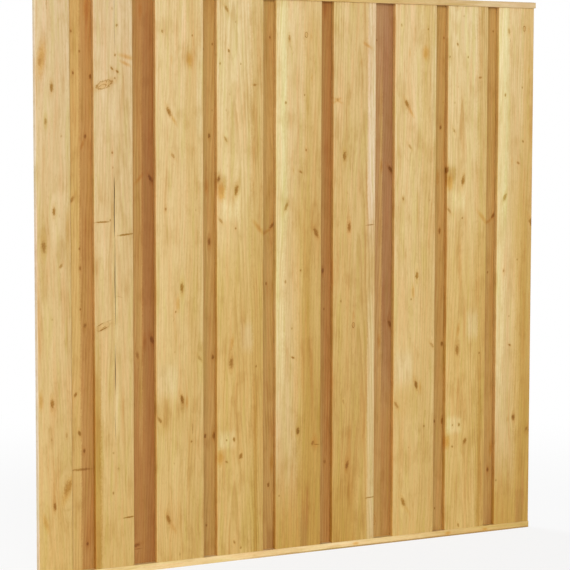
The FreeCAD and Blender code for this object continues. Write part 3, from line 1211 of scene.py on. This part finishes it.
BOARD_4 = BoardLook(
    PineFinish(
        Tone.CREAM, Tone.HONEY, seed=11.3, pith=-0.12, behind=0.035, contrast=0.62, ramp=(0.35, 1.0)),
    (
        Knot(34, 1.745, LIVE, 0.9, -30, 0.8), Knot(66, 1.705, PIN, 0.9, 0, 0.7),
        Knot(42, 1.615, DEAD, 0.8, -15), Knot(12, 1.575, PIN), Knot(84, 1.575, PIN, 0.9),
        Knot(133, 1.51, DEAD, 0.9, 85, 0.8), Knot(45, 1.48, PIN, 0.9, 0, 0.5),
        Knot(33, 1.43, PIN, 0.9, 0, 0.6), Knot(31, 1.34, LIVE, 0.7, -30, 0.7),
        Knot(16, 1.175, RESIN, 1.25, 0, 1.4), Knot(6, 1.215, LIVE, 0.8, 12),
        Knot(68, 1.18, LIVE, 1.25, 10), Knot(14, 1.085, LIVE, 0.8, -40, 0.7), Knot(66, 1.06, PIN),
        Knot(147, 1.06, SMEAR, 1.0, -40), Knot(50, 0.635, LIVE, 1.3, 0, 0.85),
        Knot(54, 0.7, SMEAR, 0.8, 8), Knot(139, 0.62, PIN), Knot(34, 0.39, PIN), Knot(60, 0.39, DEAD),
        Knot(84, 0.335, DEAD, 1.4, 15), Knot(34, 0.32, PIN, 1.1, -60),
        Knot(12, 0.335, RESIN, 1.2, 0, 1.1), Knot(61, 0.06, DEAD, 0.9, -20, 0.8), Knot(84, 0.04, PIN),
    ),
    (
        Stripe(-10, 170, 0.5, 1.1, Tone.MUSTARD, 0.55, 10, 0.25),
        Stripe(120, 170, -0.2, 2.0, Tone.OCHRE, 0.5, 24, 0.3),
        Stripe(131, 143, -0.2, 0.66, Tone.AMBER, 0.8, 6, 0.2),
        Stripe(22, 72, 1.07, 1.16, Tone.CHALK, 0.5, 16, 0.04),
        Stripe(84, 126, 0.65, 0.78, Tone.CREAM, 0.5, 14, 0.05),
        Stripe(8, 64, 0.35, 0.43, Tone.CHALK, 0.5, 14, 0.03),
        Stripe(-10, 34, 1.165, 1.24, Tone.AMBER, 0.6, 12, 0.03),
    ),
)
BOARD_5 = BoardLook(
    PineFinish(Tone.STRAW, Tone.OCHRE, seed=15.2, pith=0.6, behind=0.04),
    (
        Knot(47, 1.66, LIVE, 0.8, -5, 0.75), Knot(53, 1.63, SPIKE, 0.6, -12, 0.6),
        Knot(60, 1.61, SPIKE, 0.4, 30, 0.5), Knot(109, 1.67, EYE), Knot(127, 1.665, SMEAR, 0.5, 0, 0.6),
        Knot(129, 1.535, SMEAR, 0.5, 0, 0.6), Knot(35, 1.455, DEAD, 0.8, 0, 0.9),
        Knot(103, 1.48, PIN, 0.8), Knot(109, 1.305, PIN, 1.1, -20), Knot(90, 1.235, DEAD, 0.9, -60, 0.8),
        Knot(64, 1.24, SMEAR, 0.5, 0, 0.6), Knot(37, 1.125, LIVE, 1.1, 20, 0.85),
        Knot(146, 1.04, LIVE, 1.25, -25), Knot(90, 0.92, PIN, 0.9), Knot(35, 0.885, DEAD, 0.9, 0, 0.8),
        Knot(59, 0.735, PIN, 1.0, 0, 0.8), Knot(63, 0.64, DEAD, 0.8, -65),
        Knot(81, 0.4, DEAD, 1.5, 0, 1.1), Knot(59, 0.395, SMEAR, 0.5, 0, 0.6),
        Knot(136, 0.358, DEAD, 1.1, 20, 0.8), Knot(151, 0.352, SPIKE, 0.65, 96, 0.9),
        Knot(146, 0.36, RESIN, 1.2, 0, 0.6), Knot(13, 0.195, PIN, 0.8),
    ),
    (
        Stripe(-10, 80, 0.1, 1.1, Tone.STRAW, 0.6, 24, 0.3),
        Stripe(-10, 30, 0.3, 2.0, Tone.CHALK, 0.55, 18, 0.4),
        Stripe(20, 44, 0.9, 2.0, Tone.REED, 0.5, 16, 0.3),
        Stripe(80, 175, -0.2, 1.5, Tone.OCHRE, 0.6, 30, 0.5),
        Stripe(100, 175, 1.0, 2.0, Tone.MUSTARD, 0.6, 24, 0.4),
        Stripe(60, 110, 0.2, 1.3, Tone.HONEY, 0.5, 20, 0.3),
        Stripe(118, 175, -0.2, 0.7, Tone.AMBER, 0.5, 20, 0.3),
        Stripe(97, 124, -0.2, 1.3, Tone.AMBER, 0.55, 8, 0.4),
        Stripe(112, 119, 0.6, 0.88, Tone.AMBER, 0.5, 4, 0.08),
        Stripe(90, 118, -0.2, 0.22, Tone.RUSSET, 0.4, 12, 0.15),
        Stripe(112, 122, 0.04, 0.26, Tone.COPPER, 0.45, 5, 0.08),
    ),
)
BOARD_6 = BoardLook(
    PineFinish(Tone.WHEAT, Tone.OCHRE, seed=19.6, pith=0.1, behind=0.03, contrast=0.62),
    (
        Knot(128, 1.64, SMEAR, 0.7, -60), Knot(15, 1.465, DEAD, 0.9, 0, 0.6),
        Knot(14, 1.463, SMEAR, 0.6, 60), Knot(16, 1.463, SMEAR, 0.6, -60),
        Knot(103, 1.585, SMEAR, 0.5, 0, 0.6), Knot(42, 1.285, LIVE, 1.1),
        Knot(53, 1.165, PIN, 0.9, 0, 0.5), Knot(60, 1.055, LIVE, 1.1), Knot(140, 1.06, SPIKE, 0.9, 86),
        Knot(30, 0.815, PIN, 1.0, 0, 0.8), Knot(78, 0.735, EYE), Knot(78, 0.765, SMEAR, 0.5, 0, 0.6),
        Knot(41, 0.485, LIVE, 0.7, -20, 0.6), Knot(56, 0.275, LIVE, 1.05, 10),
        Knot(144, 0.16, SPIKE, 1.1, 86), Knot(102, 0.235, PIN, 1.0, 0, 0.4),
    ),
    (
        Stripe(-10, 60, 0.4, 1.4, Tone.MUSTARD, 0.35, 20, 0.3),
        Stripe(129, 158, 0.9, 2.0, Tone.PEARL, 0.75, 8, 0.3),
        Stripe(132, 170, -0.2, 1.0, Tone.CREAM, 0.75, 8, 0.3),
        Stripe(90, 140, -0.2, 0.5, Tone.HONEY, 0.5, 20, 0.2),
        Stripe(-10, 76, -0.2, 0.3, Tone.AMBER, 0.4, 20, 0.2),
    ),
)
# The rear boards' tones, browner and darker than the front boards', are partly the wood's own colour and
# partly painted shade of their recess between the front boards.
STRIP_1 = BoardLook(
    PineFinish(Tone.BISCUIT, Tone.BISCUIT, seed=41.0, pith=0.8, contrast=0.65),
    (
        Knot(60, 1.735, SMEAR, 1.2), Knot(11, 1.665, PIN, 1.1), Knot(38, 1.605, PIN),
        Knot(17, 1.54, DEAD, 0.7), Knot(73, 1.53, DEAD), Knot(55, 1.35, DEAD, 0.9),
        Knot(46, 1.325, SMEAR, 0.6, 20), Knot(12, 1.16, LIVE, 0.9, 30, 0.8), Knot(34, 1.01, PIN),
        Knot(36, 0.95, DEAD, 0.9, 0, 0.8), Knot(36, 0.825, PIN), Knot(51, 0.775, DEAD, 1.1, 10, 0.8),
        Knot(19, 0.565, DEAD, 1.1, 30), Knot(31, 0.445, DEAD, 1.2, -15), Knot(46, 0.39, DEAD, 0.9),
        Knot(37, 0.333, SPIKE, 2.0, 90, 0.8), Knot(55, 0.1, DEAD, 0.9),
    ),
    (
        Stripe(-40, 37, -0.3, 1.3, Tone.HONEY, 0.5, 10, 0.3),
        Stripe(37, 120, -0.2, 2.0, Tone.FAWN, 0.8, 10),
        Stripe(57, 120, 1.55, 2.0, Tone.COPPER, 0.5, 10),
    ),
)
STRIP_2 = BoardLook(
    PineFinish(Tone.UMBER, Tone.UMBER, seed=44.0, pith=0.9, contrast=0.65),
    (
        Knot(34, 1.735, SMEAR, 0.9), Knot(66, 1.22, LIVE, 1.0, -30), Knot(28, 1.22, SMEAR, 0.8, 40),
        Knot(69, 0.72, LIVE, 1.1, -20), Knot(45, 0.715, SMEAR, 0.9), Knot(20, 0.675, LIVE, 0.9, -10, 0.8),
        Knot(15, 0.08, LIVE, 1.0, 70, 0.9), Knot(20, 0.068, SPIKE, 0.8, 88, 0.8),
    ),
    (
        Stripe(-40, 36, 0.3, 1.7, Tone.TAN, 0.75, 7, 0.4),
        Stripe(-40, 14, 1.2, 2.0, Tone.OLIVE, 0.6, 8, 0.3),
        Stripe(26, 36, 0.3, 1.1, Tone.BISCUIT, 0.4, 5, 0.2),
        Stripe(40, 120, 0.4, 2.0, Tone.RUSSET, 0.6, 7, 0.4),
        Stripe(46, 120, -0.2, 1.45, Tone.RUSSET, 0.5, 12),
    ),
)
STRIP_3 = BoardLook(
    PineFinish(Tone.TAN, Tone.TAN, seed=47.0, pith=0.5, contrast=0.65),
    (
        Knot(39, 1.635, PIN), Knot(6, 1.62, DEAD, 0.9), Knot(38, 1.43, PIN, 0.8, 0, 0.6),
        Knot(28, 1.35, DEAD), Knot(18, 1.19, SMEAR, 0.9), Knot(28, 1.02, LIVE, 0.8),
        Knot(40, 0.655, DEAD, 1.1), Knot(13, 0.405, DEAD), Knot(44, 0.405, LIVE, 0.9),
        Knot(17, 0.12, PIN),
    ),
    (
        Stripe(-40, 20, -0.2, 2.0, Tone.OLIVE, 0.6, 10),
    ),
)
STRIP_4 = BoardLook(
    PineFinish(Tone.TAN, Tone.TAN, seed=51.0, pith=-0.7, contrast=0.65),
    (
        Knot(31, 1.66, PIN), Knot(5, 1.62, PIN), Knot(39, 1.065, LIVE, 0.9, 40),
        Knot(17, 1.045, SMEAR, 0.8, 60), Knot(19, 0.88, PIN, 1.1), Knot(39, 0.3, SMEAR),
        Knot(27, 0.23, DEAD),
    ),
    (
        Stripe(-40, 19, 0.4, 2.0, Tone.OLIVE, 0.6, 10, 0.3),
        Stripe(22, 60, -0.2, 0.14, Tone.RUSSET, 0.5, 8, 0.1),
    ),
)
STRIP_5 = BoardLook(
    PineFinish(Tone.UMBER, Tone.FAWN, seed=55.0, pith=0.7, contrast=0.65),
    (
        Knot(21, 1.755, SMEAR, 1.1), Knot(15, 0.915, LIVE, 0.75), Knot(20, 0.79, PIN),
        Knot(25, 0.29, DEAD, 1.0, 0, 0.7),
    ),
    (
        Stripe(-40, 19, -0.2, 2.0, Tone.OLIVE, 0.6, 10),
        Stripe(-40, 120, 0.4, 2.0, Tone.RUSSET, 0.25, 10, 0.3),
    ),
)
STRIP_6 = BoardLook(
    PineFinish(Tone.CLAY, Tone.TAN, seed=58.0, pith=0.9, contrast=0.65),
    (
        Knot(12, 1.66, PIN, 0.9), Knot(66, 1.24, LIVE, 1.0, -35), Knot(32, 1.25, SMEAR, 0.7),
        Knot(67, 0.73, LIVE, 1.0, -20), Knot(26, 0.675, SMEAR, 0.8), Knot(10, 0.08, RING, 0.7, 0, 0.7),
    ),
    (
        Stripe(36, 120, 0.3, 2.0, Tone.COCOA, 0.65, 7, 0.4),
        Stripe(36, 120, -0.2, 0.6, Tone.UMBER, 0.55, 8, 0.3),
        Stripe(25, 35, 0.3, 1.6, Tone.BISCUIT, 0.4, 6),
    ),
)

FRONT_LOOKS: tuple[BoardLook, ...] = (
    BOARD_1, BOARD_2, BOARD_3, BOARD_4, BOARD_5, BOARD_6,
    BOARD_3.again(23.4), BOARD_4.again(27.8, -5), BOARD_5.again(33.0, -6),
)
REAR_LOOKS: tuple[BoardLook, ...] = (
    STRIP_1, STRIP_2, STRIP_3, STRIP_4, STRIP_5, STRIP_6, STRIP_3.again(62.0), STRIP_4.again(66.0),
)


def take_place(piece: bpy.types.Object, node: str) -> None:
    """Let a piece stand for a CAD node.

    Args:
        piece: The finished piece.
        node: The CAD node that it stands for.
    """
    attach(piece, BODY)
    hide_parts(node)
    LOG.info("%s: %d faces", piece.name, len(piece.data.polygons))


@dataclass(frozen=True)
class DryingCrack:
    """One length of the crack that opened in a board's face as it dried.

    Attributes:
        side: How far it lies from the board's left edge, in millimetres.
        low: Height of its foot, in metres.
        high: Height of its head, in metres.
        width: Its greatest width, in metres.
        depth: Its greatest depth, in metres.
        steps: Lengths that it is cut in.
    """

    side: float
    low: float
    high: float
    width: float
    depth: float = 0.008
    steps: int = 30

    REACH: ClassVar[float] = 0.004
    PROUD: ClassVar[float] = 0.002
    FLARE: ClassVar[float] = 1.3
    LEAST_OPEN: ClassVar[float] = 0.05
    SWELL: ClassVar[float] = 0.7
    TEAR: ClassVar[float] = 0.15
    TEAR_RATE: ClassVar[float] = 43.0
    SLOW_SWAY: ClassVar[tuple[float, float, float]] = (0.0009, 9.1, 0.0)
    QUICK_SWAY: ClassVar[tuple[float, float, float]] = (0.0005, 31.7, 1.3)

    def sway(self, z: float) -> float:
        """How far the crack strays sideways at a height."""
        return sum(
            reach * math.sin(rate * z + start) for reach, rate, start in (self.SLOW_SWAY, self.QUICK_SWAY))

    def blade(self, left: float, face: float) -> bpy.types.Object:
        """The wavy wedge that cuts the crack.

        Args:
            left: The board's left edge along X.
            face: The board's front face along Y.

        Returns:
            The wedge.
        """
        points, faces = [], []
        for step in range(self.steps + 1):
            share = step / self.steps
            z = self.low + (self.high - self.low) * share
            x = left + self.side * MILLIMETRE + self.sway(z)
            opened = max(self.LEAST_OPEN, math.sin(math.pi * share) ** self.SWELL)
            torn = 1 - self.TEAR + self.TEAR * math.sin(self.TEAR_RATE * z)
            half = self.width * opened * torn / 2 * self.FLARE
            points += [
                (x - half, face - self.PROUD, z),
                (x + half, face - self.PROUD, z),
                (x, face + self.depth * opened, z),
            ]
        for step in range(self.steps):
            base = step * 3
            for corner in range(3):
                following = (corner + 1) % 3
                faces.append((base + corner, base + following, base + 3 + following, base + 3 + corner))
        last = self.steps * 3
        faces += [(2, 1, 0), (last, last + 1, last + 2)]
        mesh = bpy.data.meshes.new("crack_blade")
        mesh.from_pydata(points, [], faces)
        blade = bpy.data.objects.new("crack_blade", mesh)
        bpy.context.scene.collection.objects.link(blade)
        return blade

    def cut(self, board: bpy.types.Object, left: float, face: float) -> None:
        """Cut the crack into a board.

        Args:
            board: The board's piece.
            left: The board's left edge along X.
            face: The board's front face along Y.
        """
        blade = self.blade(left, face)
        modifier = board.modifiers.new("Crack", "BOOLEAN")
        modifier.operation = "DIFFERENCE"
        modifier.solver = "EXACT"
        modifier.object = blade
        evaluated = board.evaluated_get(bpy.context.evaluated_depsgraph_get())
        whole = board.data
        cut_mesh = bpy.data.meshes.new_from_object(evaluated)
        board.modifiers.clear()
        board.data = cut_mesh
        bpy.data.meshes.remove(whole)
        blade_mesh = blade.data
        bpy.data.objects.remove(blade)
        bpy.data.meshes.remove(blade_mesh)


@dataclass
class Boarding:
    """The front boards, the rear boards behind their gaps, and the two end battens.

    Attributes:
        shaders: The shared groups.
        arris: Radius of a board's eased edges, in metres.
        wander: How far a board's edges stray, in metres.
        cracked: Number of the front board that has the crack.
        cracks: The lengths of its crack.
        battens: The looks of the left and right battens.
    """

    shaders: PineShaders
    arris: float = 0.0025
    wander: float = 0.0005
    cracked: int = 2
    cracks: tuple[DryingCrack, ...] = (
        DryingCrack(70, 1.6, 1.85, 0.0012), DryingCrack(68, 1.03, 1.24, 0.0036),
        DryingCrack(68, 0.75, 1.06, 0.0026), DryingCrack(68, 0.55, 0.73, 0.0024),
        DryingCrack(68, 0.4, 0.53, 0.0010),
    )
    battens: tuple[BoardLook, ...] = (
        BoardLook(
            PineFinish(Tone.MUSTARD, Tone.BISCUIT, seed=71.0, pith=0.4, behind=0.02),
            (Knot(16, 0.52, LIVE),)),
        BoardLook(
            PineFinish(Tone.MUSTARD, Tone.BISCUIT, seed=75.0, pith=0.4, behind=0.02),
            (Knot(16, 0.83, LIVE),)),
    )

    def build(self) -> None:
        """Build every board and batten."""
        maker = NodesMaker(board_tree())
        for number, look in enumerate(FRONT_LOOKS, start=1):
            node = f"front_board_{number}"
            left, face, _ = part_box(node)[0]
            cracks = self.cracks if number == self.cracked else ()
            # Every front board but the first gets painted shade on its sides.
            board = self.board(maker, node, look, left, cracks, number > 1)
            for crack in cracks:
                crack.cut(board, left, face)
            take_place(board, node)
        for number, look in enumerate(REAR_LOOKS, start=1):
            node = f"rear_board_{number}"
            gap_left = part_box(f"front_board_{number}")[1][0]
            take_place(self.board(maker, node, look, gap_left), node)
        for node, look in zip(("left_batten", "right_batten"), self.battens):
            take_place(self.board(maker, node, look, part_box(node)[0][0]), node)

    def board(
        self, maker: NodesMaker, node: str, look: BoardLook, datum: float,
        cracks: tuple[DryingCrack, ...] = (), side_shade: bool = False,
    ) -> bpy.types.Object:
        """Plane and dress one board.

        Args:
            maker: The maker that holds the board tree.
            node: The CAD node that the board stands for.
            look: Its finish, knots and streaks.
            datum: The X that knots and streaks are measured from.
            cracks: The cracks that it gets.
            side_shade: Whether its sides get painted shade, a warmer, darker brown.

        Returns:
            The board.
        """
        low, high = (Vector(corner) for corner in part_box(node))
        size, middle = high - low, (low + high) / 2
        material = PineMaterial(
            node + "_pine", look.finish, Run.UPRIGHT, low, high, self.shaders, datum,
            look.knots, look.stripes, cracks, side_shade,
        ).build()
        return maker.make(node + "_planed", {
            "Width": size.x - self.wander, "Thickness": size.y, "Length": size.z, "Arris": self.arris,
            "Wander": self.wander, "Seed": look.finish.seed, "Middle X": middle.x, "Middle Y": middle.y,
            "Foot Z": low.z, "Wood": material,
        })


@dataclass
class LevelTimber:
    """The pieces that run along the panel: the cap, the plate and the three back rails.

    Attributes:
        shaders: The shared groups.
        nodes: The CAD nodes by name.
        cap: The cap's look.
        plate: The plate's look, with painted shade along its foot.
        rail_seed: The first rail's seed.
        seed_step: How far the next rail's seed lies from it.
        rail_kinds: The sorts of the knots along a rail.
        knot_size: Their size, as a multiple of their sorts'.
        knot_side: Their middle place across a rail, in millimetres.
        knot_swing: How far they lie off it, in millimetres.
        knot_turn: How fast that changes from knot to knot.
        first_knot: X of a rail's first knot, in metres.
        knot_gap: The way from knot to knot, in metres.
        rail_shift: How far the next rail's knots lie to the right, in metres.
    """

    shaders: PineShaders
    nodes: dict[str, bpy.types.Object]
    cap: BoardLook = BoardLook(
        PineFinish(Tone.BUFF, Tone.MUSTARD, seed=81.0, behind=0.04, ramp=(0.55, 0.95)))
    plate: BoardLook = BoardLook(
        PineFinish(Tone.HONEY, Tone.SHELL, seed=84.0, behind=0.05, ramp=(0.6, 0.88)),
        tuple(Knot(11, along, RESIN, 0.55) for along in (0.21, 0.57, 0.72)),
        # The olive line along the plate's lowest 5 mm is painted shade under its lower edge.
        (Stripe(-9, 5, -0.4, 2.0, Tone.OLIVE, 0.9, 2, 0.6),),
    )
    rail_seed: float = 88.0
    seed_step: float = 5.0
    rail_kinds: tuple[KnotKind, ...] = (LIVE, PIN, DEAD, LIVE, PIN)
    knot_size: float = 0.9
    knot_side: float = 35.0
    knot_swing: float = 12.0
    knot_turn: float = 2.1
    first_knot: float = -0.71
    knot_gap: float = 0.37
    rail_shift: float = 0.05

    def build(self) -> None:
        """Dress every level piece."""
        self.dress("top_cap", self.cap)
        self.dress("bottom_plate", self.plate)
        for number, node in enumerate(("top_rail", "middle_rail", "bottom_rail")):
            self.dress(node, self.rail(number))

    def rail(self, number: int) -> BoardLook:
        """The look of one rail, counted from the top.

        Args:
            number: The rail's number, from 0.

        Returns:
            Its look.
        """
        seed = self.rail_seed + self.seed_step * number
        knots = []
        for step, kind in enumerate(self.rail_kinds):
            side = self.knot_side + self.knot_swing * math.sin(self.knot_turn * step + number)
            along = self.first_knot + self.knot_gap * step + self.rail_shift * number
            knots.append(Knot(side, along, kind, self.knot_size))
        return BoardLook(PineFinish(Tone.HONEY, Tone.MUSTARD, seed=seed, behind=0.045), tuple(knots))

    def dress(self, node: str, look: BoardLook) -> None:
        """Give a CAD node its pine.

        Args:
            node: The CAD node.
            look: Its finish, knots and streaks.
        """
        low, high = (Vector(corner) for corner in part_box(node))
        material = PineMaterial(
            node + "_pine", look.finish, Run.LEVEL, low, high, self.shaders, low.z, look.knots, look.stripes,
        ).build()
        mesh = self.nodes[node].data
        mesh.materials.clear()
        mesh.materials.append(material)
        LOG.info("%s: dressed", node)


class Facing(Enum):
    """The way that a set of screw heads faces, as a turn from upright."""

    BACK = (-math.pi / 2, 0.0, 0.0)
    UP = (0.0, 0.0, 0.0)
    DOWN = (math.pi, 0.0, 0.0)


@dataclass
class ScrewSet:
    """The wood screws of the panel, sized from the CAD screws.

    Attributes:
        nodes: The CAD nodes by name.
        finish: The screws' metal.
        head_radius: Radius of a head, in metres.
        first_seed: Seed of the first set's turns.
    """

    nodes: dict[str, bpy.types.Object]
    finish: ZincFinish = ZincFinish()
    head_radius: float = 0.0045
    first_seed: int = 5

    FLAT: ClassVar[float] = 0.00001
    HEAD_SPAN: ClassVar[float] = 2.2

    def build(self) -> None:
        """Build the three sets of screws."""
        zinc = self.zinc()
        maker = NodesMaker(screw_tree())
        for number, (node, facing) in enumerate((
            ("board_screws", Facing.BACK), ("cap_screws", Facing.UP), ("plate_screws", Facing.DOWN),
        )):
            heads, length = self.heads(node, facing)
            piece = maker.make(node + "_zinc", {
                "Head radius": self.head_radius, "Length": length, "Facing": facing.value,
                "Seed": self.first_seed + number, "Zinc": zinc,
            }, heads)
            take_place(piece, node)

    def heads(self, node: str, facing: Facing) -> tuple[list[Vector], float]:
        """Find the middles of a node's screw heads.

        Args:
            node: The CAD node.
            facing: The way that the heads face.

        Returns:
            The middles of the heads' faces, and the screws' length.
        """
        out = Euler(facing.value).to_matrix() @ Vector((0, 0, 1))
        corners = [vertex.co for vertex in self.nodes[node].data.vertices]
        face = max(corner.dot(out) for corner in corners)
        end = min(corner.dot(out) for corner in corners)
        clusters: list[list[Vector]] = []
        for corner in corners:
            if corner.dot(out) < face - self.FLAT:
                continue
            for cluster in clusters:
                if (cluster[0] - corner).length < self.HEAD_SPAN * self.head_radius:
                    cluster.append(corner)
                    break
            else:
                clusters.append([corner])
        middles = []
        for cluster in clusters:
            ends = [(min(places), max(places)) for places in zip(*cluster)]
            middles.append(Vector([(least + most) / 2 for least, most in ends]))
        return middles, face - end

    def zinc(self) -> bpy.types.Material:
        """The screws' metal.

        Returns:
            The material.
        """
        finish = self.finish
        material = bpy.data.materials.new("yellow_zinc")
        sheet = SurfaceSheet(material)
        cloud = sheet.noise(sheet.spot(), finish.cloud_scale, finish.cloud_detail)
        colour = sheet.blend(sheet.ramp(cloud, *finish.cloud_edge), finish.bright, finish.dull)
        rough = sheet.math(
            "MULTIPLY_ADD", cloud, finish.roughness_span, finish.roughness - finish.roughness_span / 2)
        bump = sheet.put("ShaderNodeBump", {
            "Strength": finish.relief, "Distance": finish.relief_depth, "Height": cloud})
        shader = sheet.put("ShaderNodeBsdfPrincipled", {
            "Base Color": colour, "Metallic": 1.0, "Roughness": rough, "Normal": bump.outputs["Normal"]})
        sheet.surface(shader.outputs["BSDF"])
        return material


@dataclass
class Studio:
    """The floor, the lamps and the white surround.

    Attributes:
        ambient: Strength of the surround's light on the panel.
        key_strength: Strength of the lamp in front.
        key_bearing: Its bearing, in degrees to the right of straight in front of the panel.
        key_height: Its height, in degrees above level.
        back_strength: Strength of the lamp behind.
        back_bearing: Its bearing, in degrees.
        back_height: Its height, in degrees.
        lamp_reach: How far the lamps hang from the panel, in metres.
        softness: Breadth of a lamp as the panel sees it, in degrees.
        floor_half: Half the floor's width, in metres.
        floor_drop: How far it lies under the panel, in metres.
        floor_white: How white it looks under the panel.
        floor_fade: Where it begins and ends to fade to the surround, in metres.
        floor_grey: How much light it gives back.
    """

    ambient: float = 0.39
    key_strength: float = 2.0
    key_bearing: float = -20.0
    key_height: float = 9.0
    back_strength: float = 1.6
    back_bearing: float = 205.0
    back_height: float = 35.0
    lamp_reach: float = 8.0
    softness: float = 24.0
    floor_half: float = 40.0
    floor_drop: float = 0.0004
    floor_white: float = 0.85
    floor_fade: tuple[float, float] = (1.2, 3.2)
    floor_grey: float = 0.86

    WHITE: ClassVar[Colour] = (1.0, 1.0, 1.0, 1.0)

    def build(self) -> None:
        """Build the whole studio."""
        bpy.context.scene.view_settings.view_transform = "Standard"
        self.surround()
        self.floor()
        self.lamp("key", self.key_bearing, self.key_height, self.key_strength)
        self.lamp("back", self.back_bearing, self.back_height, self.back_strength)

    def lamp(self, name: str, bearing: float, height: float, strength: float) -> None:
        """Hang one wide, far lamp that lights the whole panel evenly.

        Args:
            name: The lamp's name.
            bearing: Degrees to the right of straight in front of the panel.
            height: Degrees above level.
            strength: Its strength.
        """
        data = bpy.data.lights.new(name, "SUN")
        data.angle = math.radians(self.softness)
        data.energy = strength
        lamp = bpy.data.objects.new(name, data)
        turn, rise = math.radians(bearing), math.radians(height)
        towards = Vector((
            math.sin(turn) * math.cos(rise), -math.cos(turn) * math.cos(rise), math.sin(rise)))
        lamp.location = towards * self.lamp_reach
        lamp.rotation_euler = towards.to_track_quat("Z", "Y").to_euler()
        bpy.context.scene.collection.objects.link(lamp)

    def seen(self, sheet: NodeSheet) -> Socket:
        """Tell where a surface is seen from where it only lights.

        Args:
            sheet: The surface's sheet.

        Returns:
            One where the camera, a reflection or glass sees the surface, and nought elsewhere.
        """
        path = sheet.add("ShaderNodeLightPath").outputs
        looks = sheet.math("MAXIMUM", path["Is Camera Ray"], path["Is Glossy Ray"])
        return sheet.math("MAXIMUM", looks, path["Is Transmission Ray"])

    def surround(self) -> None:
        """A white surround that lights the panel evenly."""
        world = bpy.data.worlds.new("white_surround")
        sheet = SurfaceSheet(world)
        strength = sheet.math("MULTIPLY_ADD", self.seen(sheet), 1.0 - self.ambient, self.ambient)
        back = sheet.first("ShaderNodeBackground", {"Color": self.WHITE, "Strength": strength})
        sheet.surface(back, "ShaderNodeOutputWorld")
        bpy.context.scene.world = world

    def floor(self) -> None:
        """A pale floor that keeps the panel's shadow and fades to the surround."""
        half = self.floor_half
        mesh = bpy.data.meshes.new("studio_floor")
        ground_plan = ((-half, -half), (half, -half), (half, half), (-half, half))
        mesh.from_pydata([(x, y, -self.floor_drop) for x, y in ground_plan], [], [(0, 1, 2, 3)])
        floor = bpy.data.objects.new("studio_floor", mesh)
        bpy.context.scene.collection.objects.link(floor)
        material = bpy.data.materials.new("pale_floor")
        sheet = SurfaceSheet(material)
        reach = sheet.put("ShaderNodeVectorMath", {0: sheet.spot()}, operation="LENGTH").outputs["Value"]
        white = sheet.ramp(reach, *self.floor_fade, self.floor_white, 1.0)
        share = sheet.times(self.seen(sheet), white)
        grey = self.floor_grey
        matt = sheet.first("ShaderNodeBsdfDiffuse", {"Color": (grey, grey, grey, 1.0)})
        glow = sheet.first("ShaderNodeEmission", {"Color": self.WHITE, "Strength": 1.0})
        sheet.surface(sheet.first("ShaderNodeMixShader", {0: share, 1: matt, 2: glow}))
        mesh.materials.append(material)


def main() -> None:
    """Build the panel, then the studio and the camera."""
    logging.basicConfig(level=logging.INFO, format="%(name)s: %(message)s")
    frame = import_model()
    shaders = PineShaders()
    Boarding(shaders).build()
    LevelTimber(shaders, frame["nodes"]).build()
    ScrewSet(frame["nodes"]).build()
    Studio().build()
    PhotoView().build()


if __name__ == "__main__":
    main()
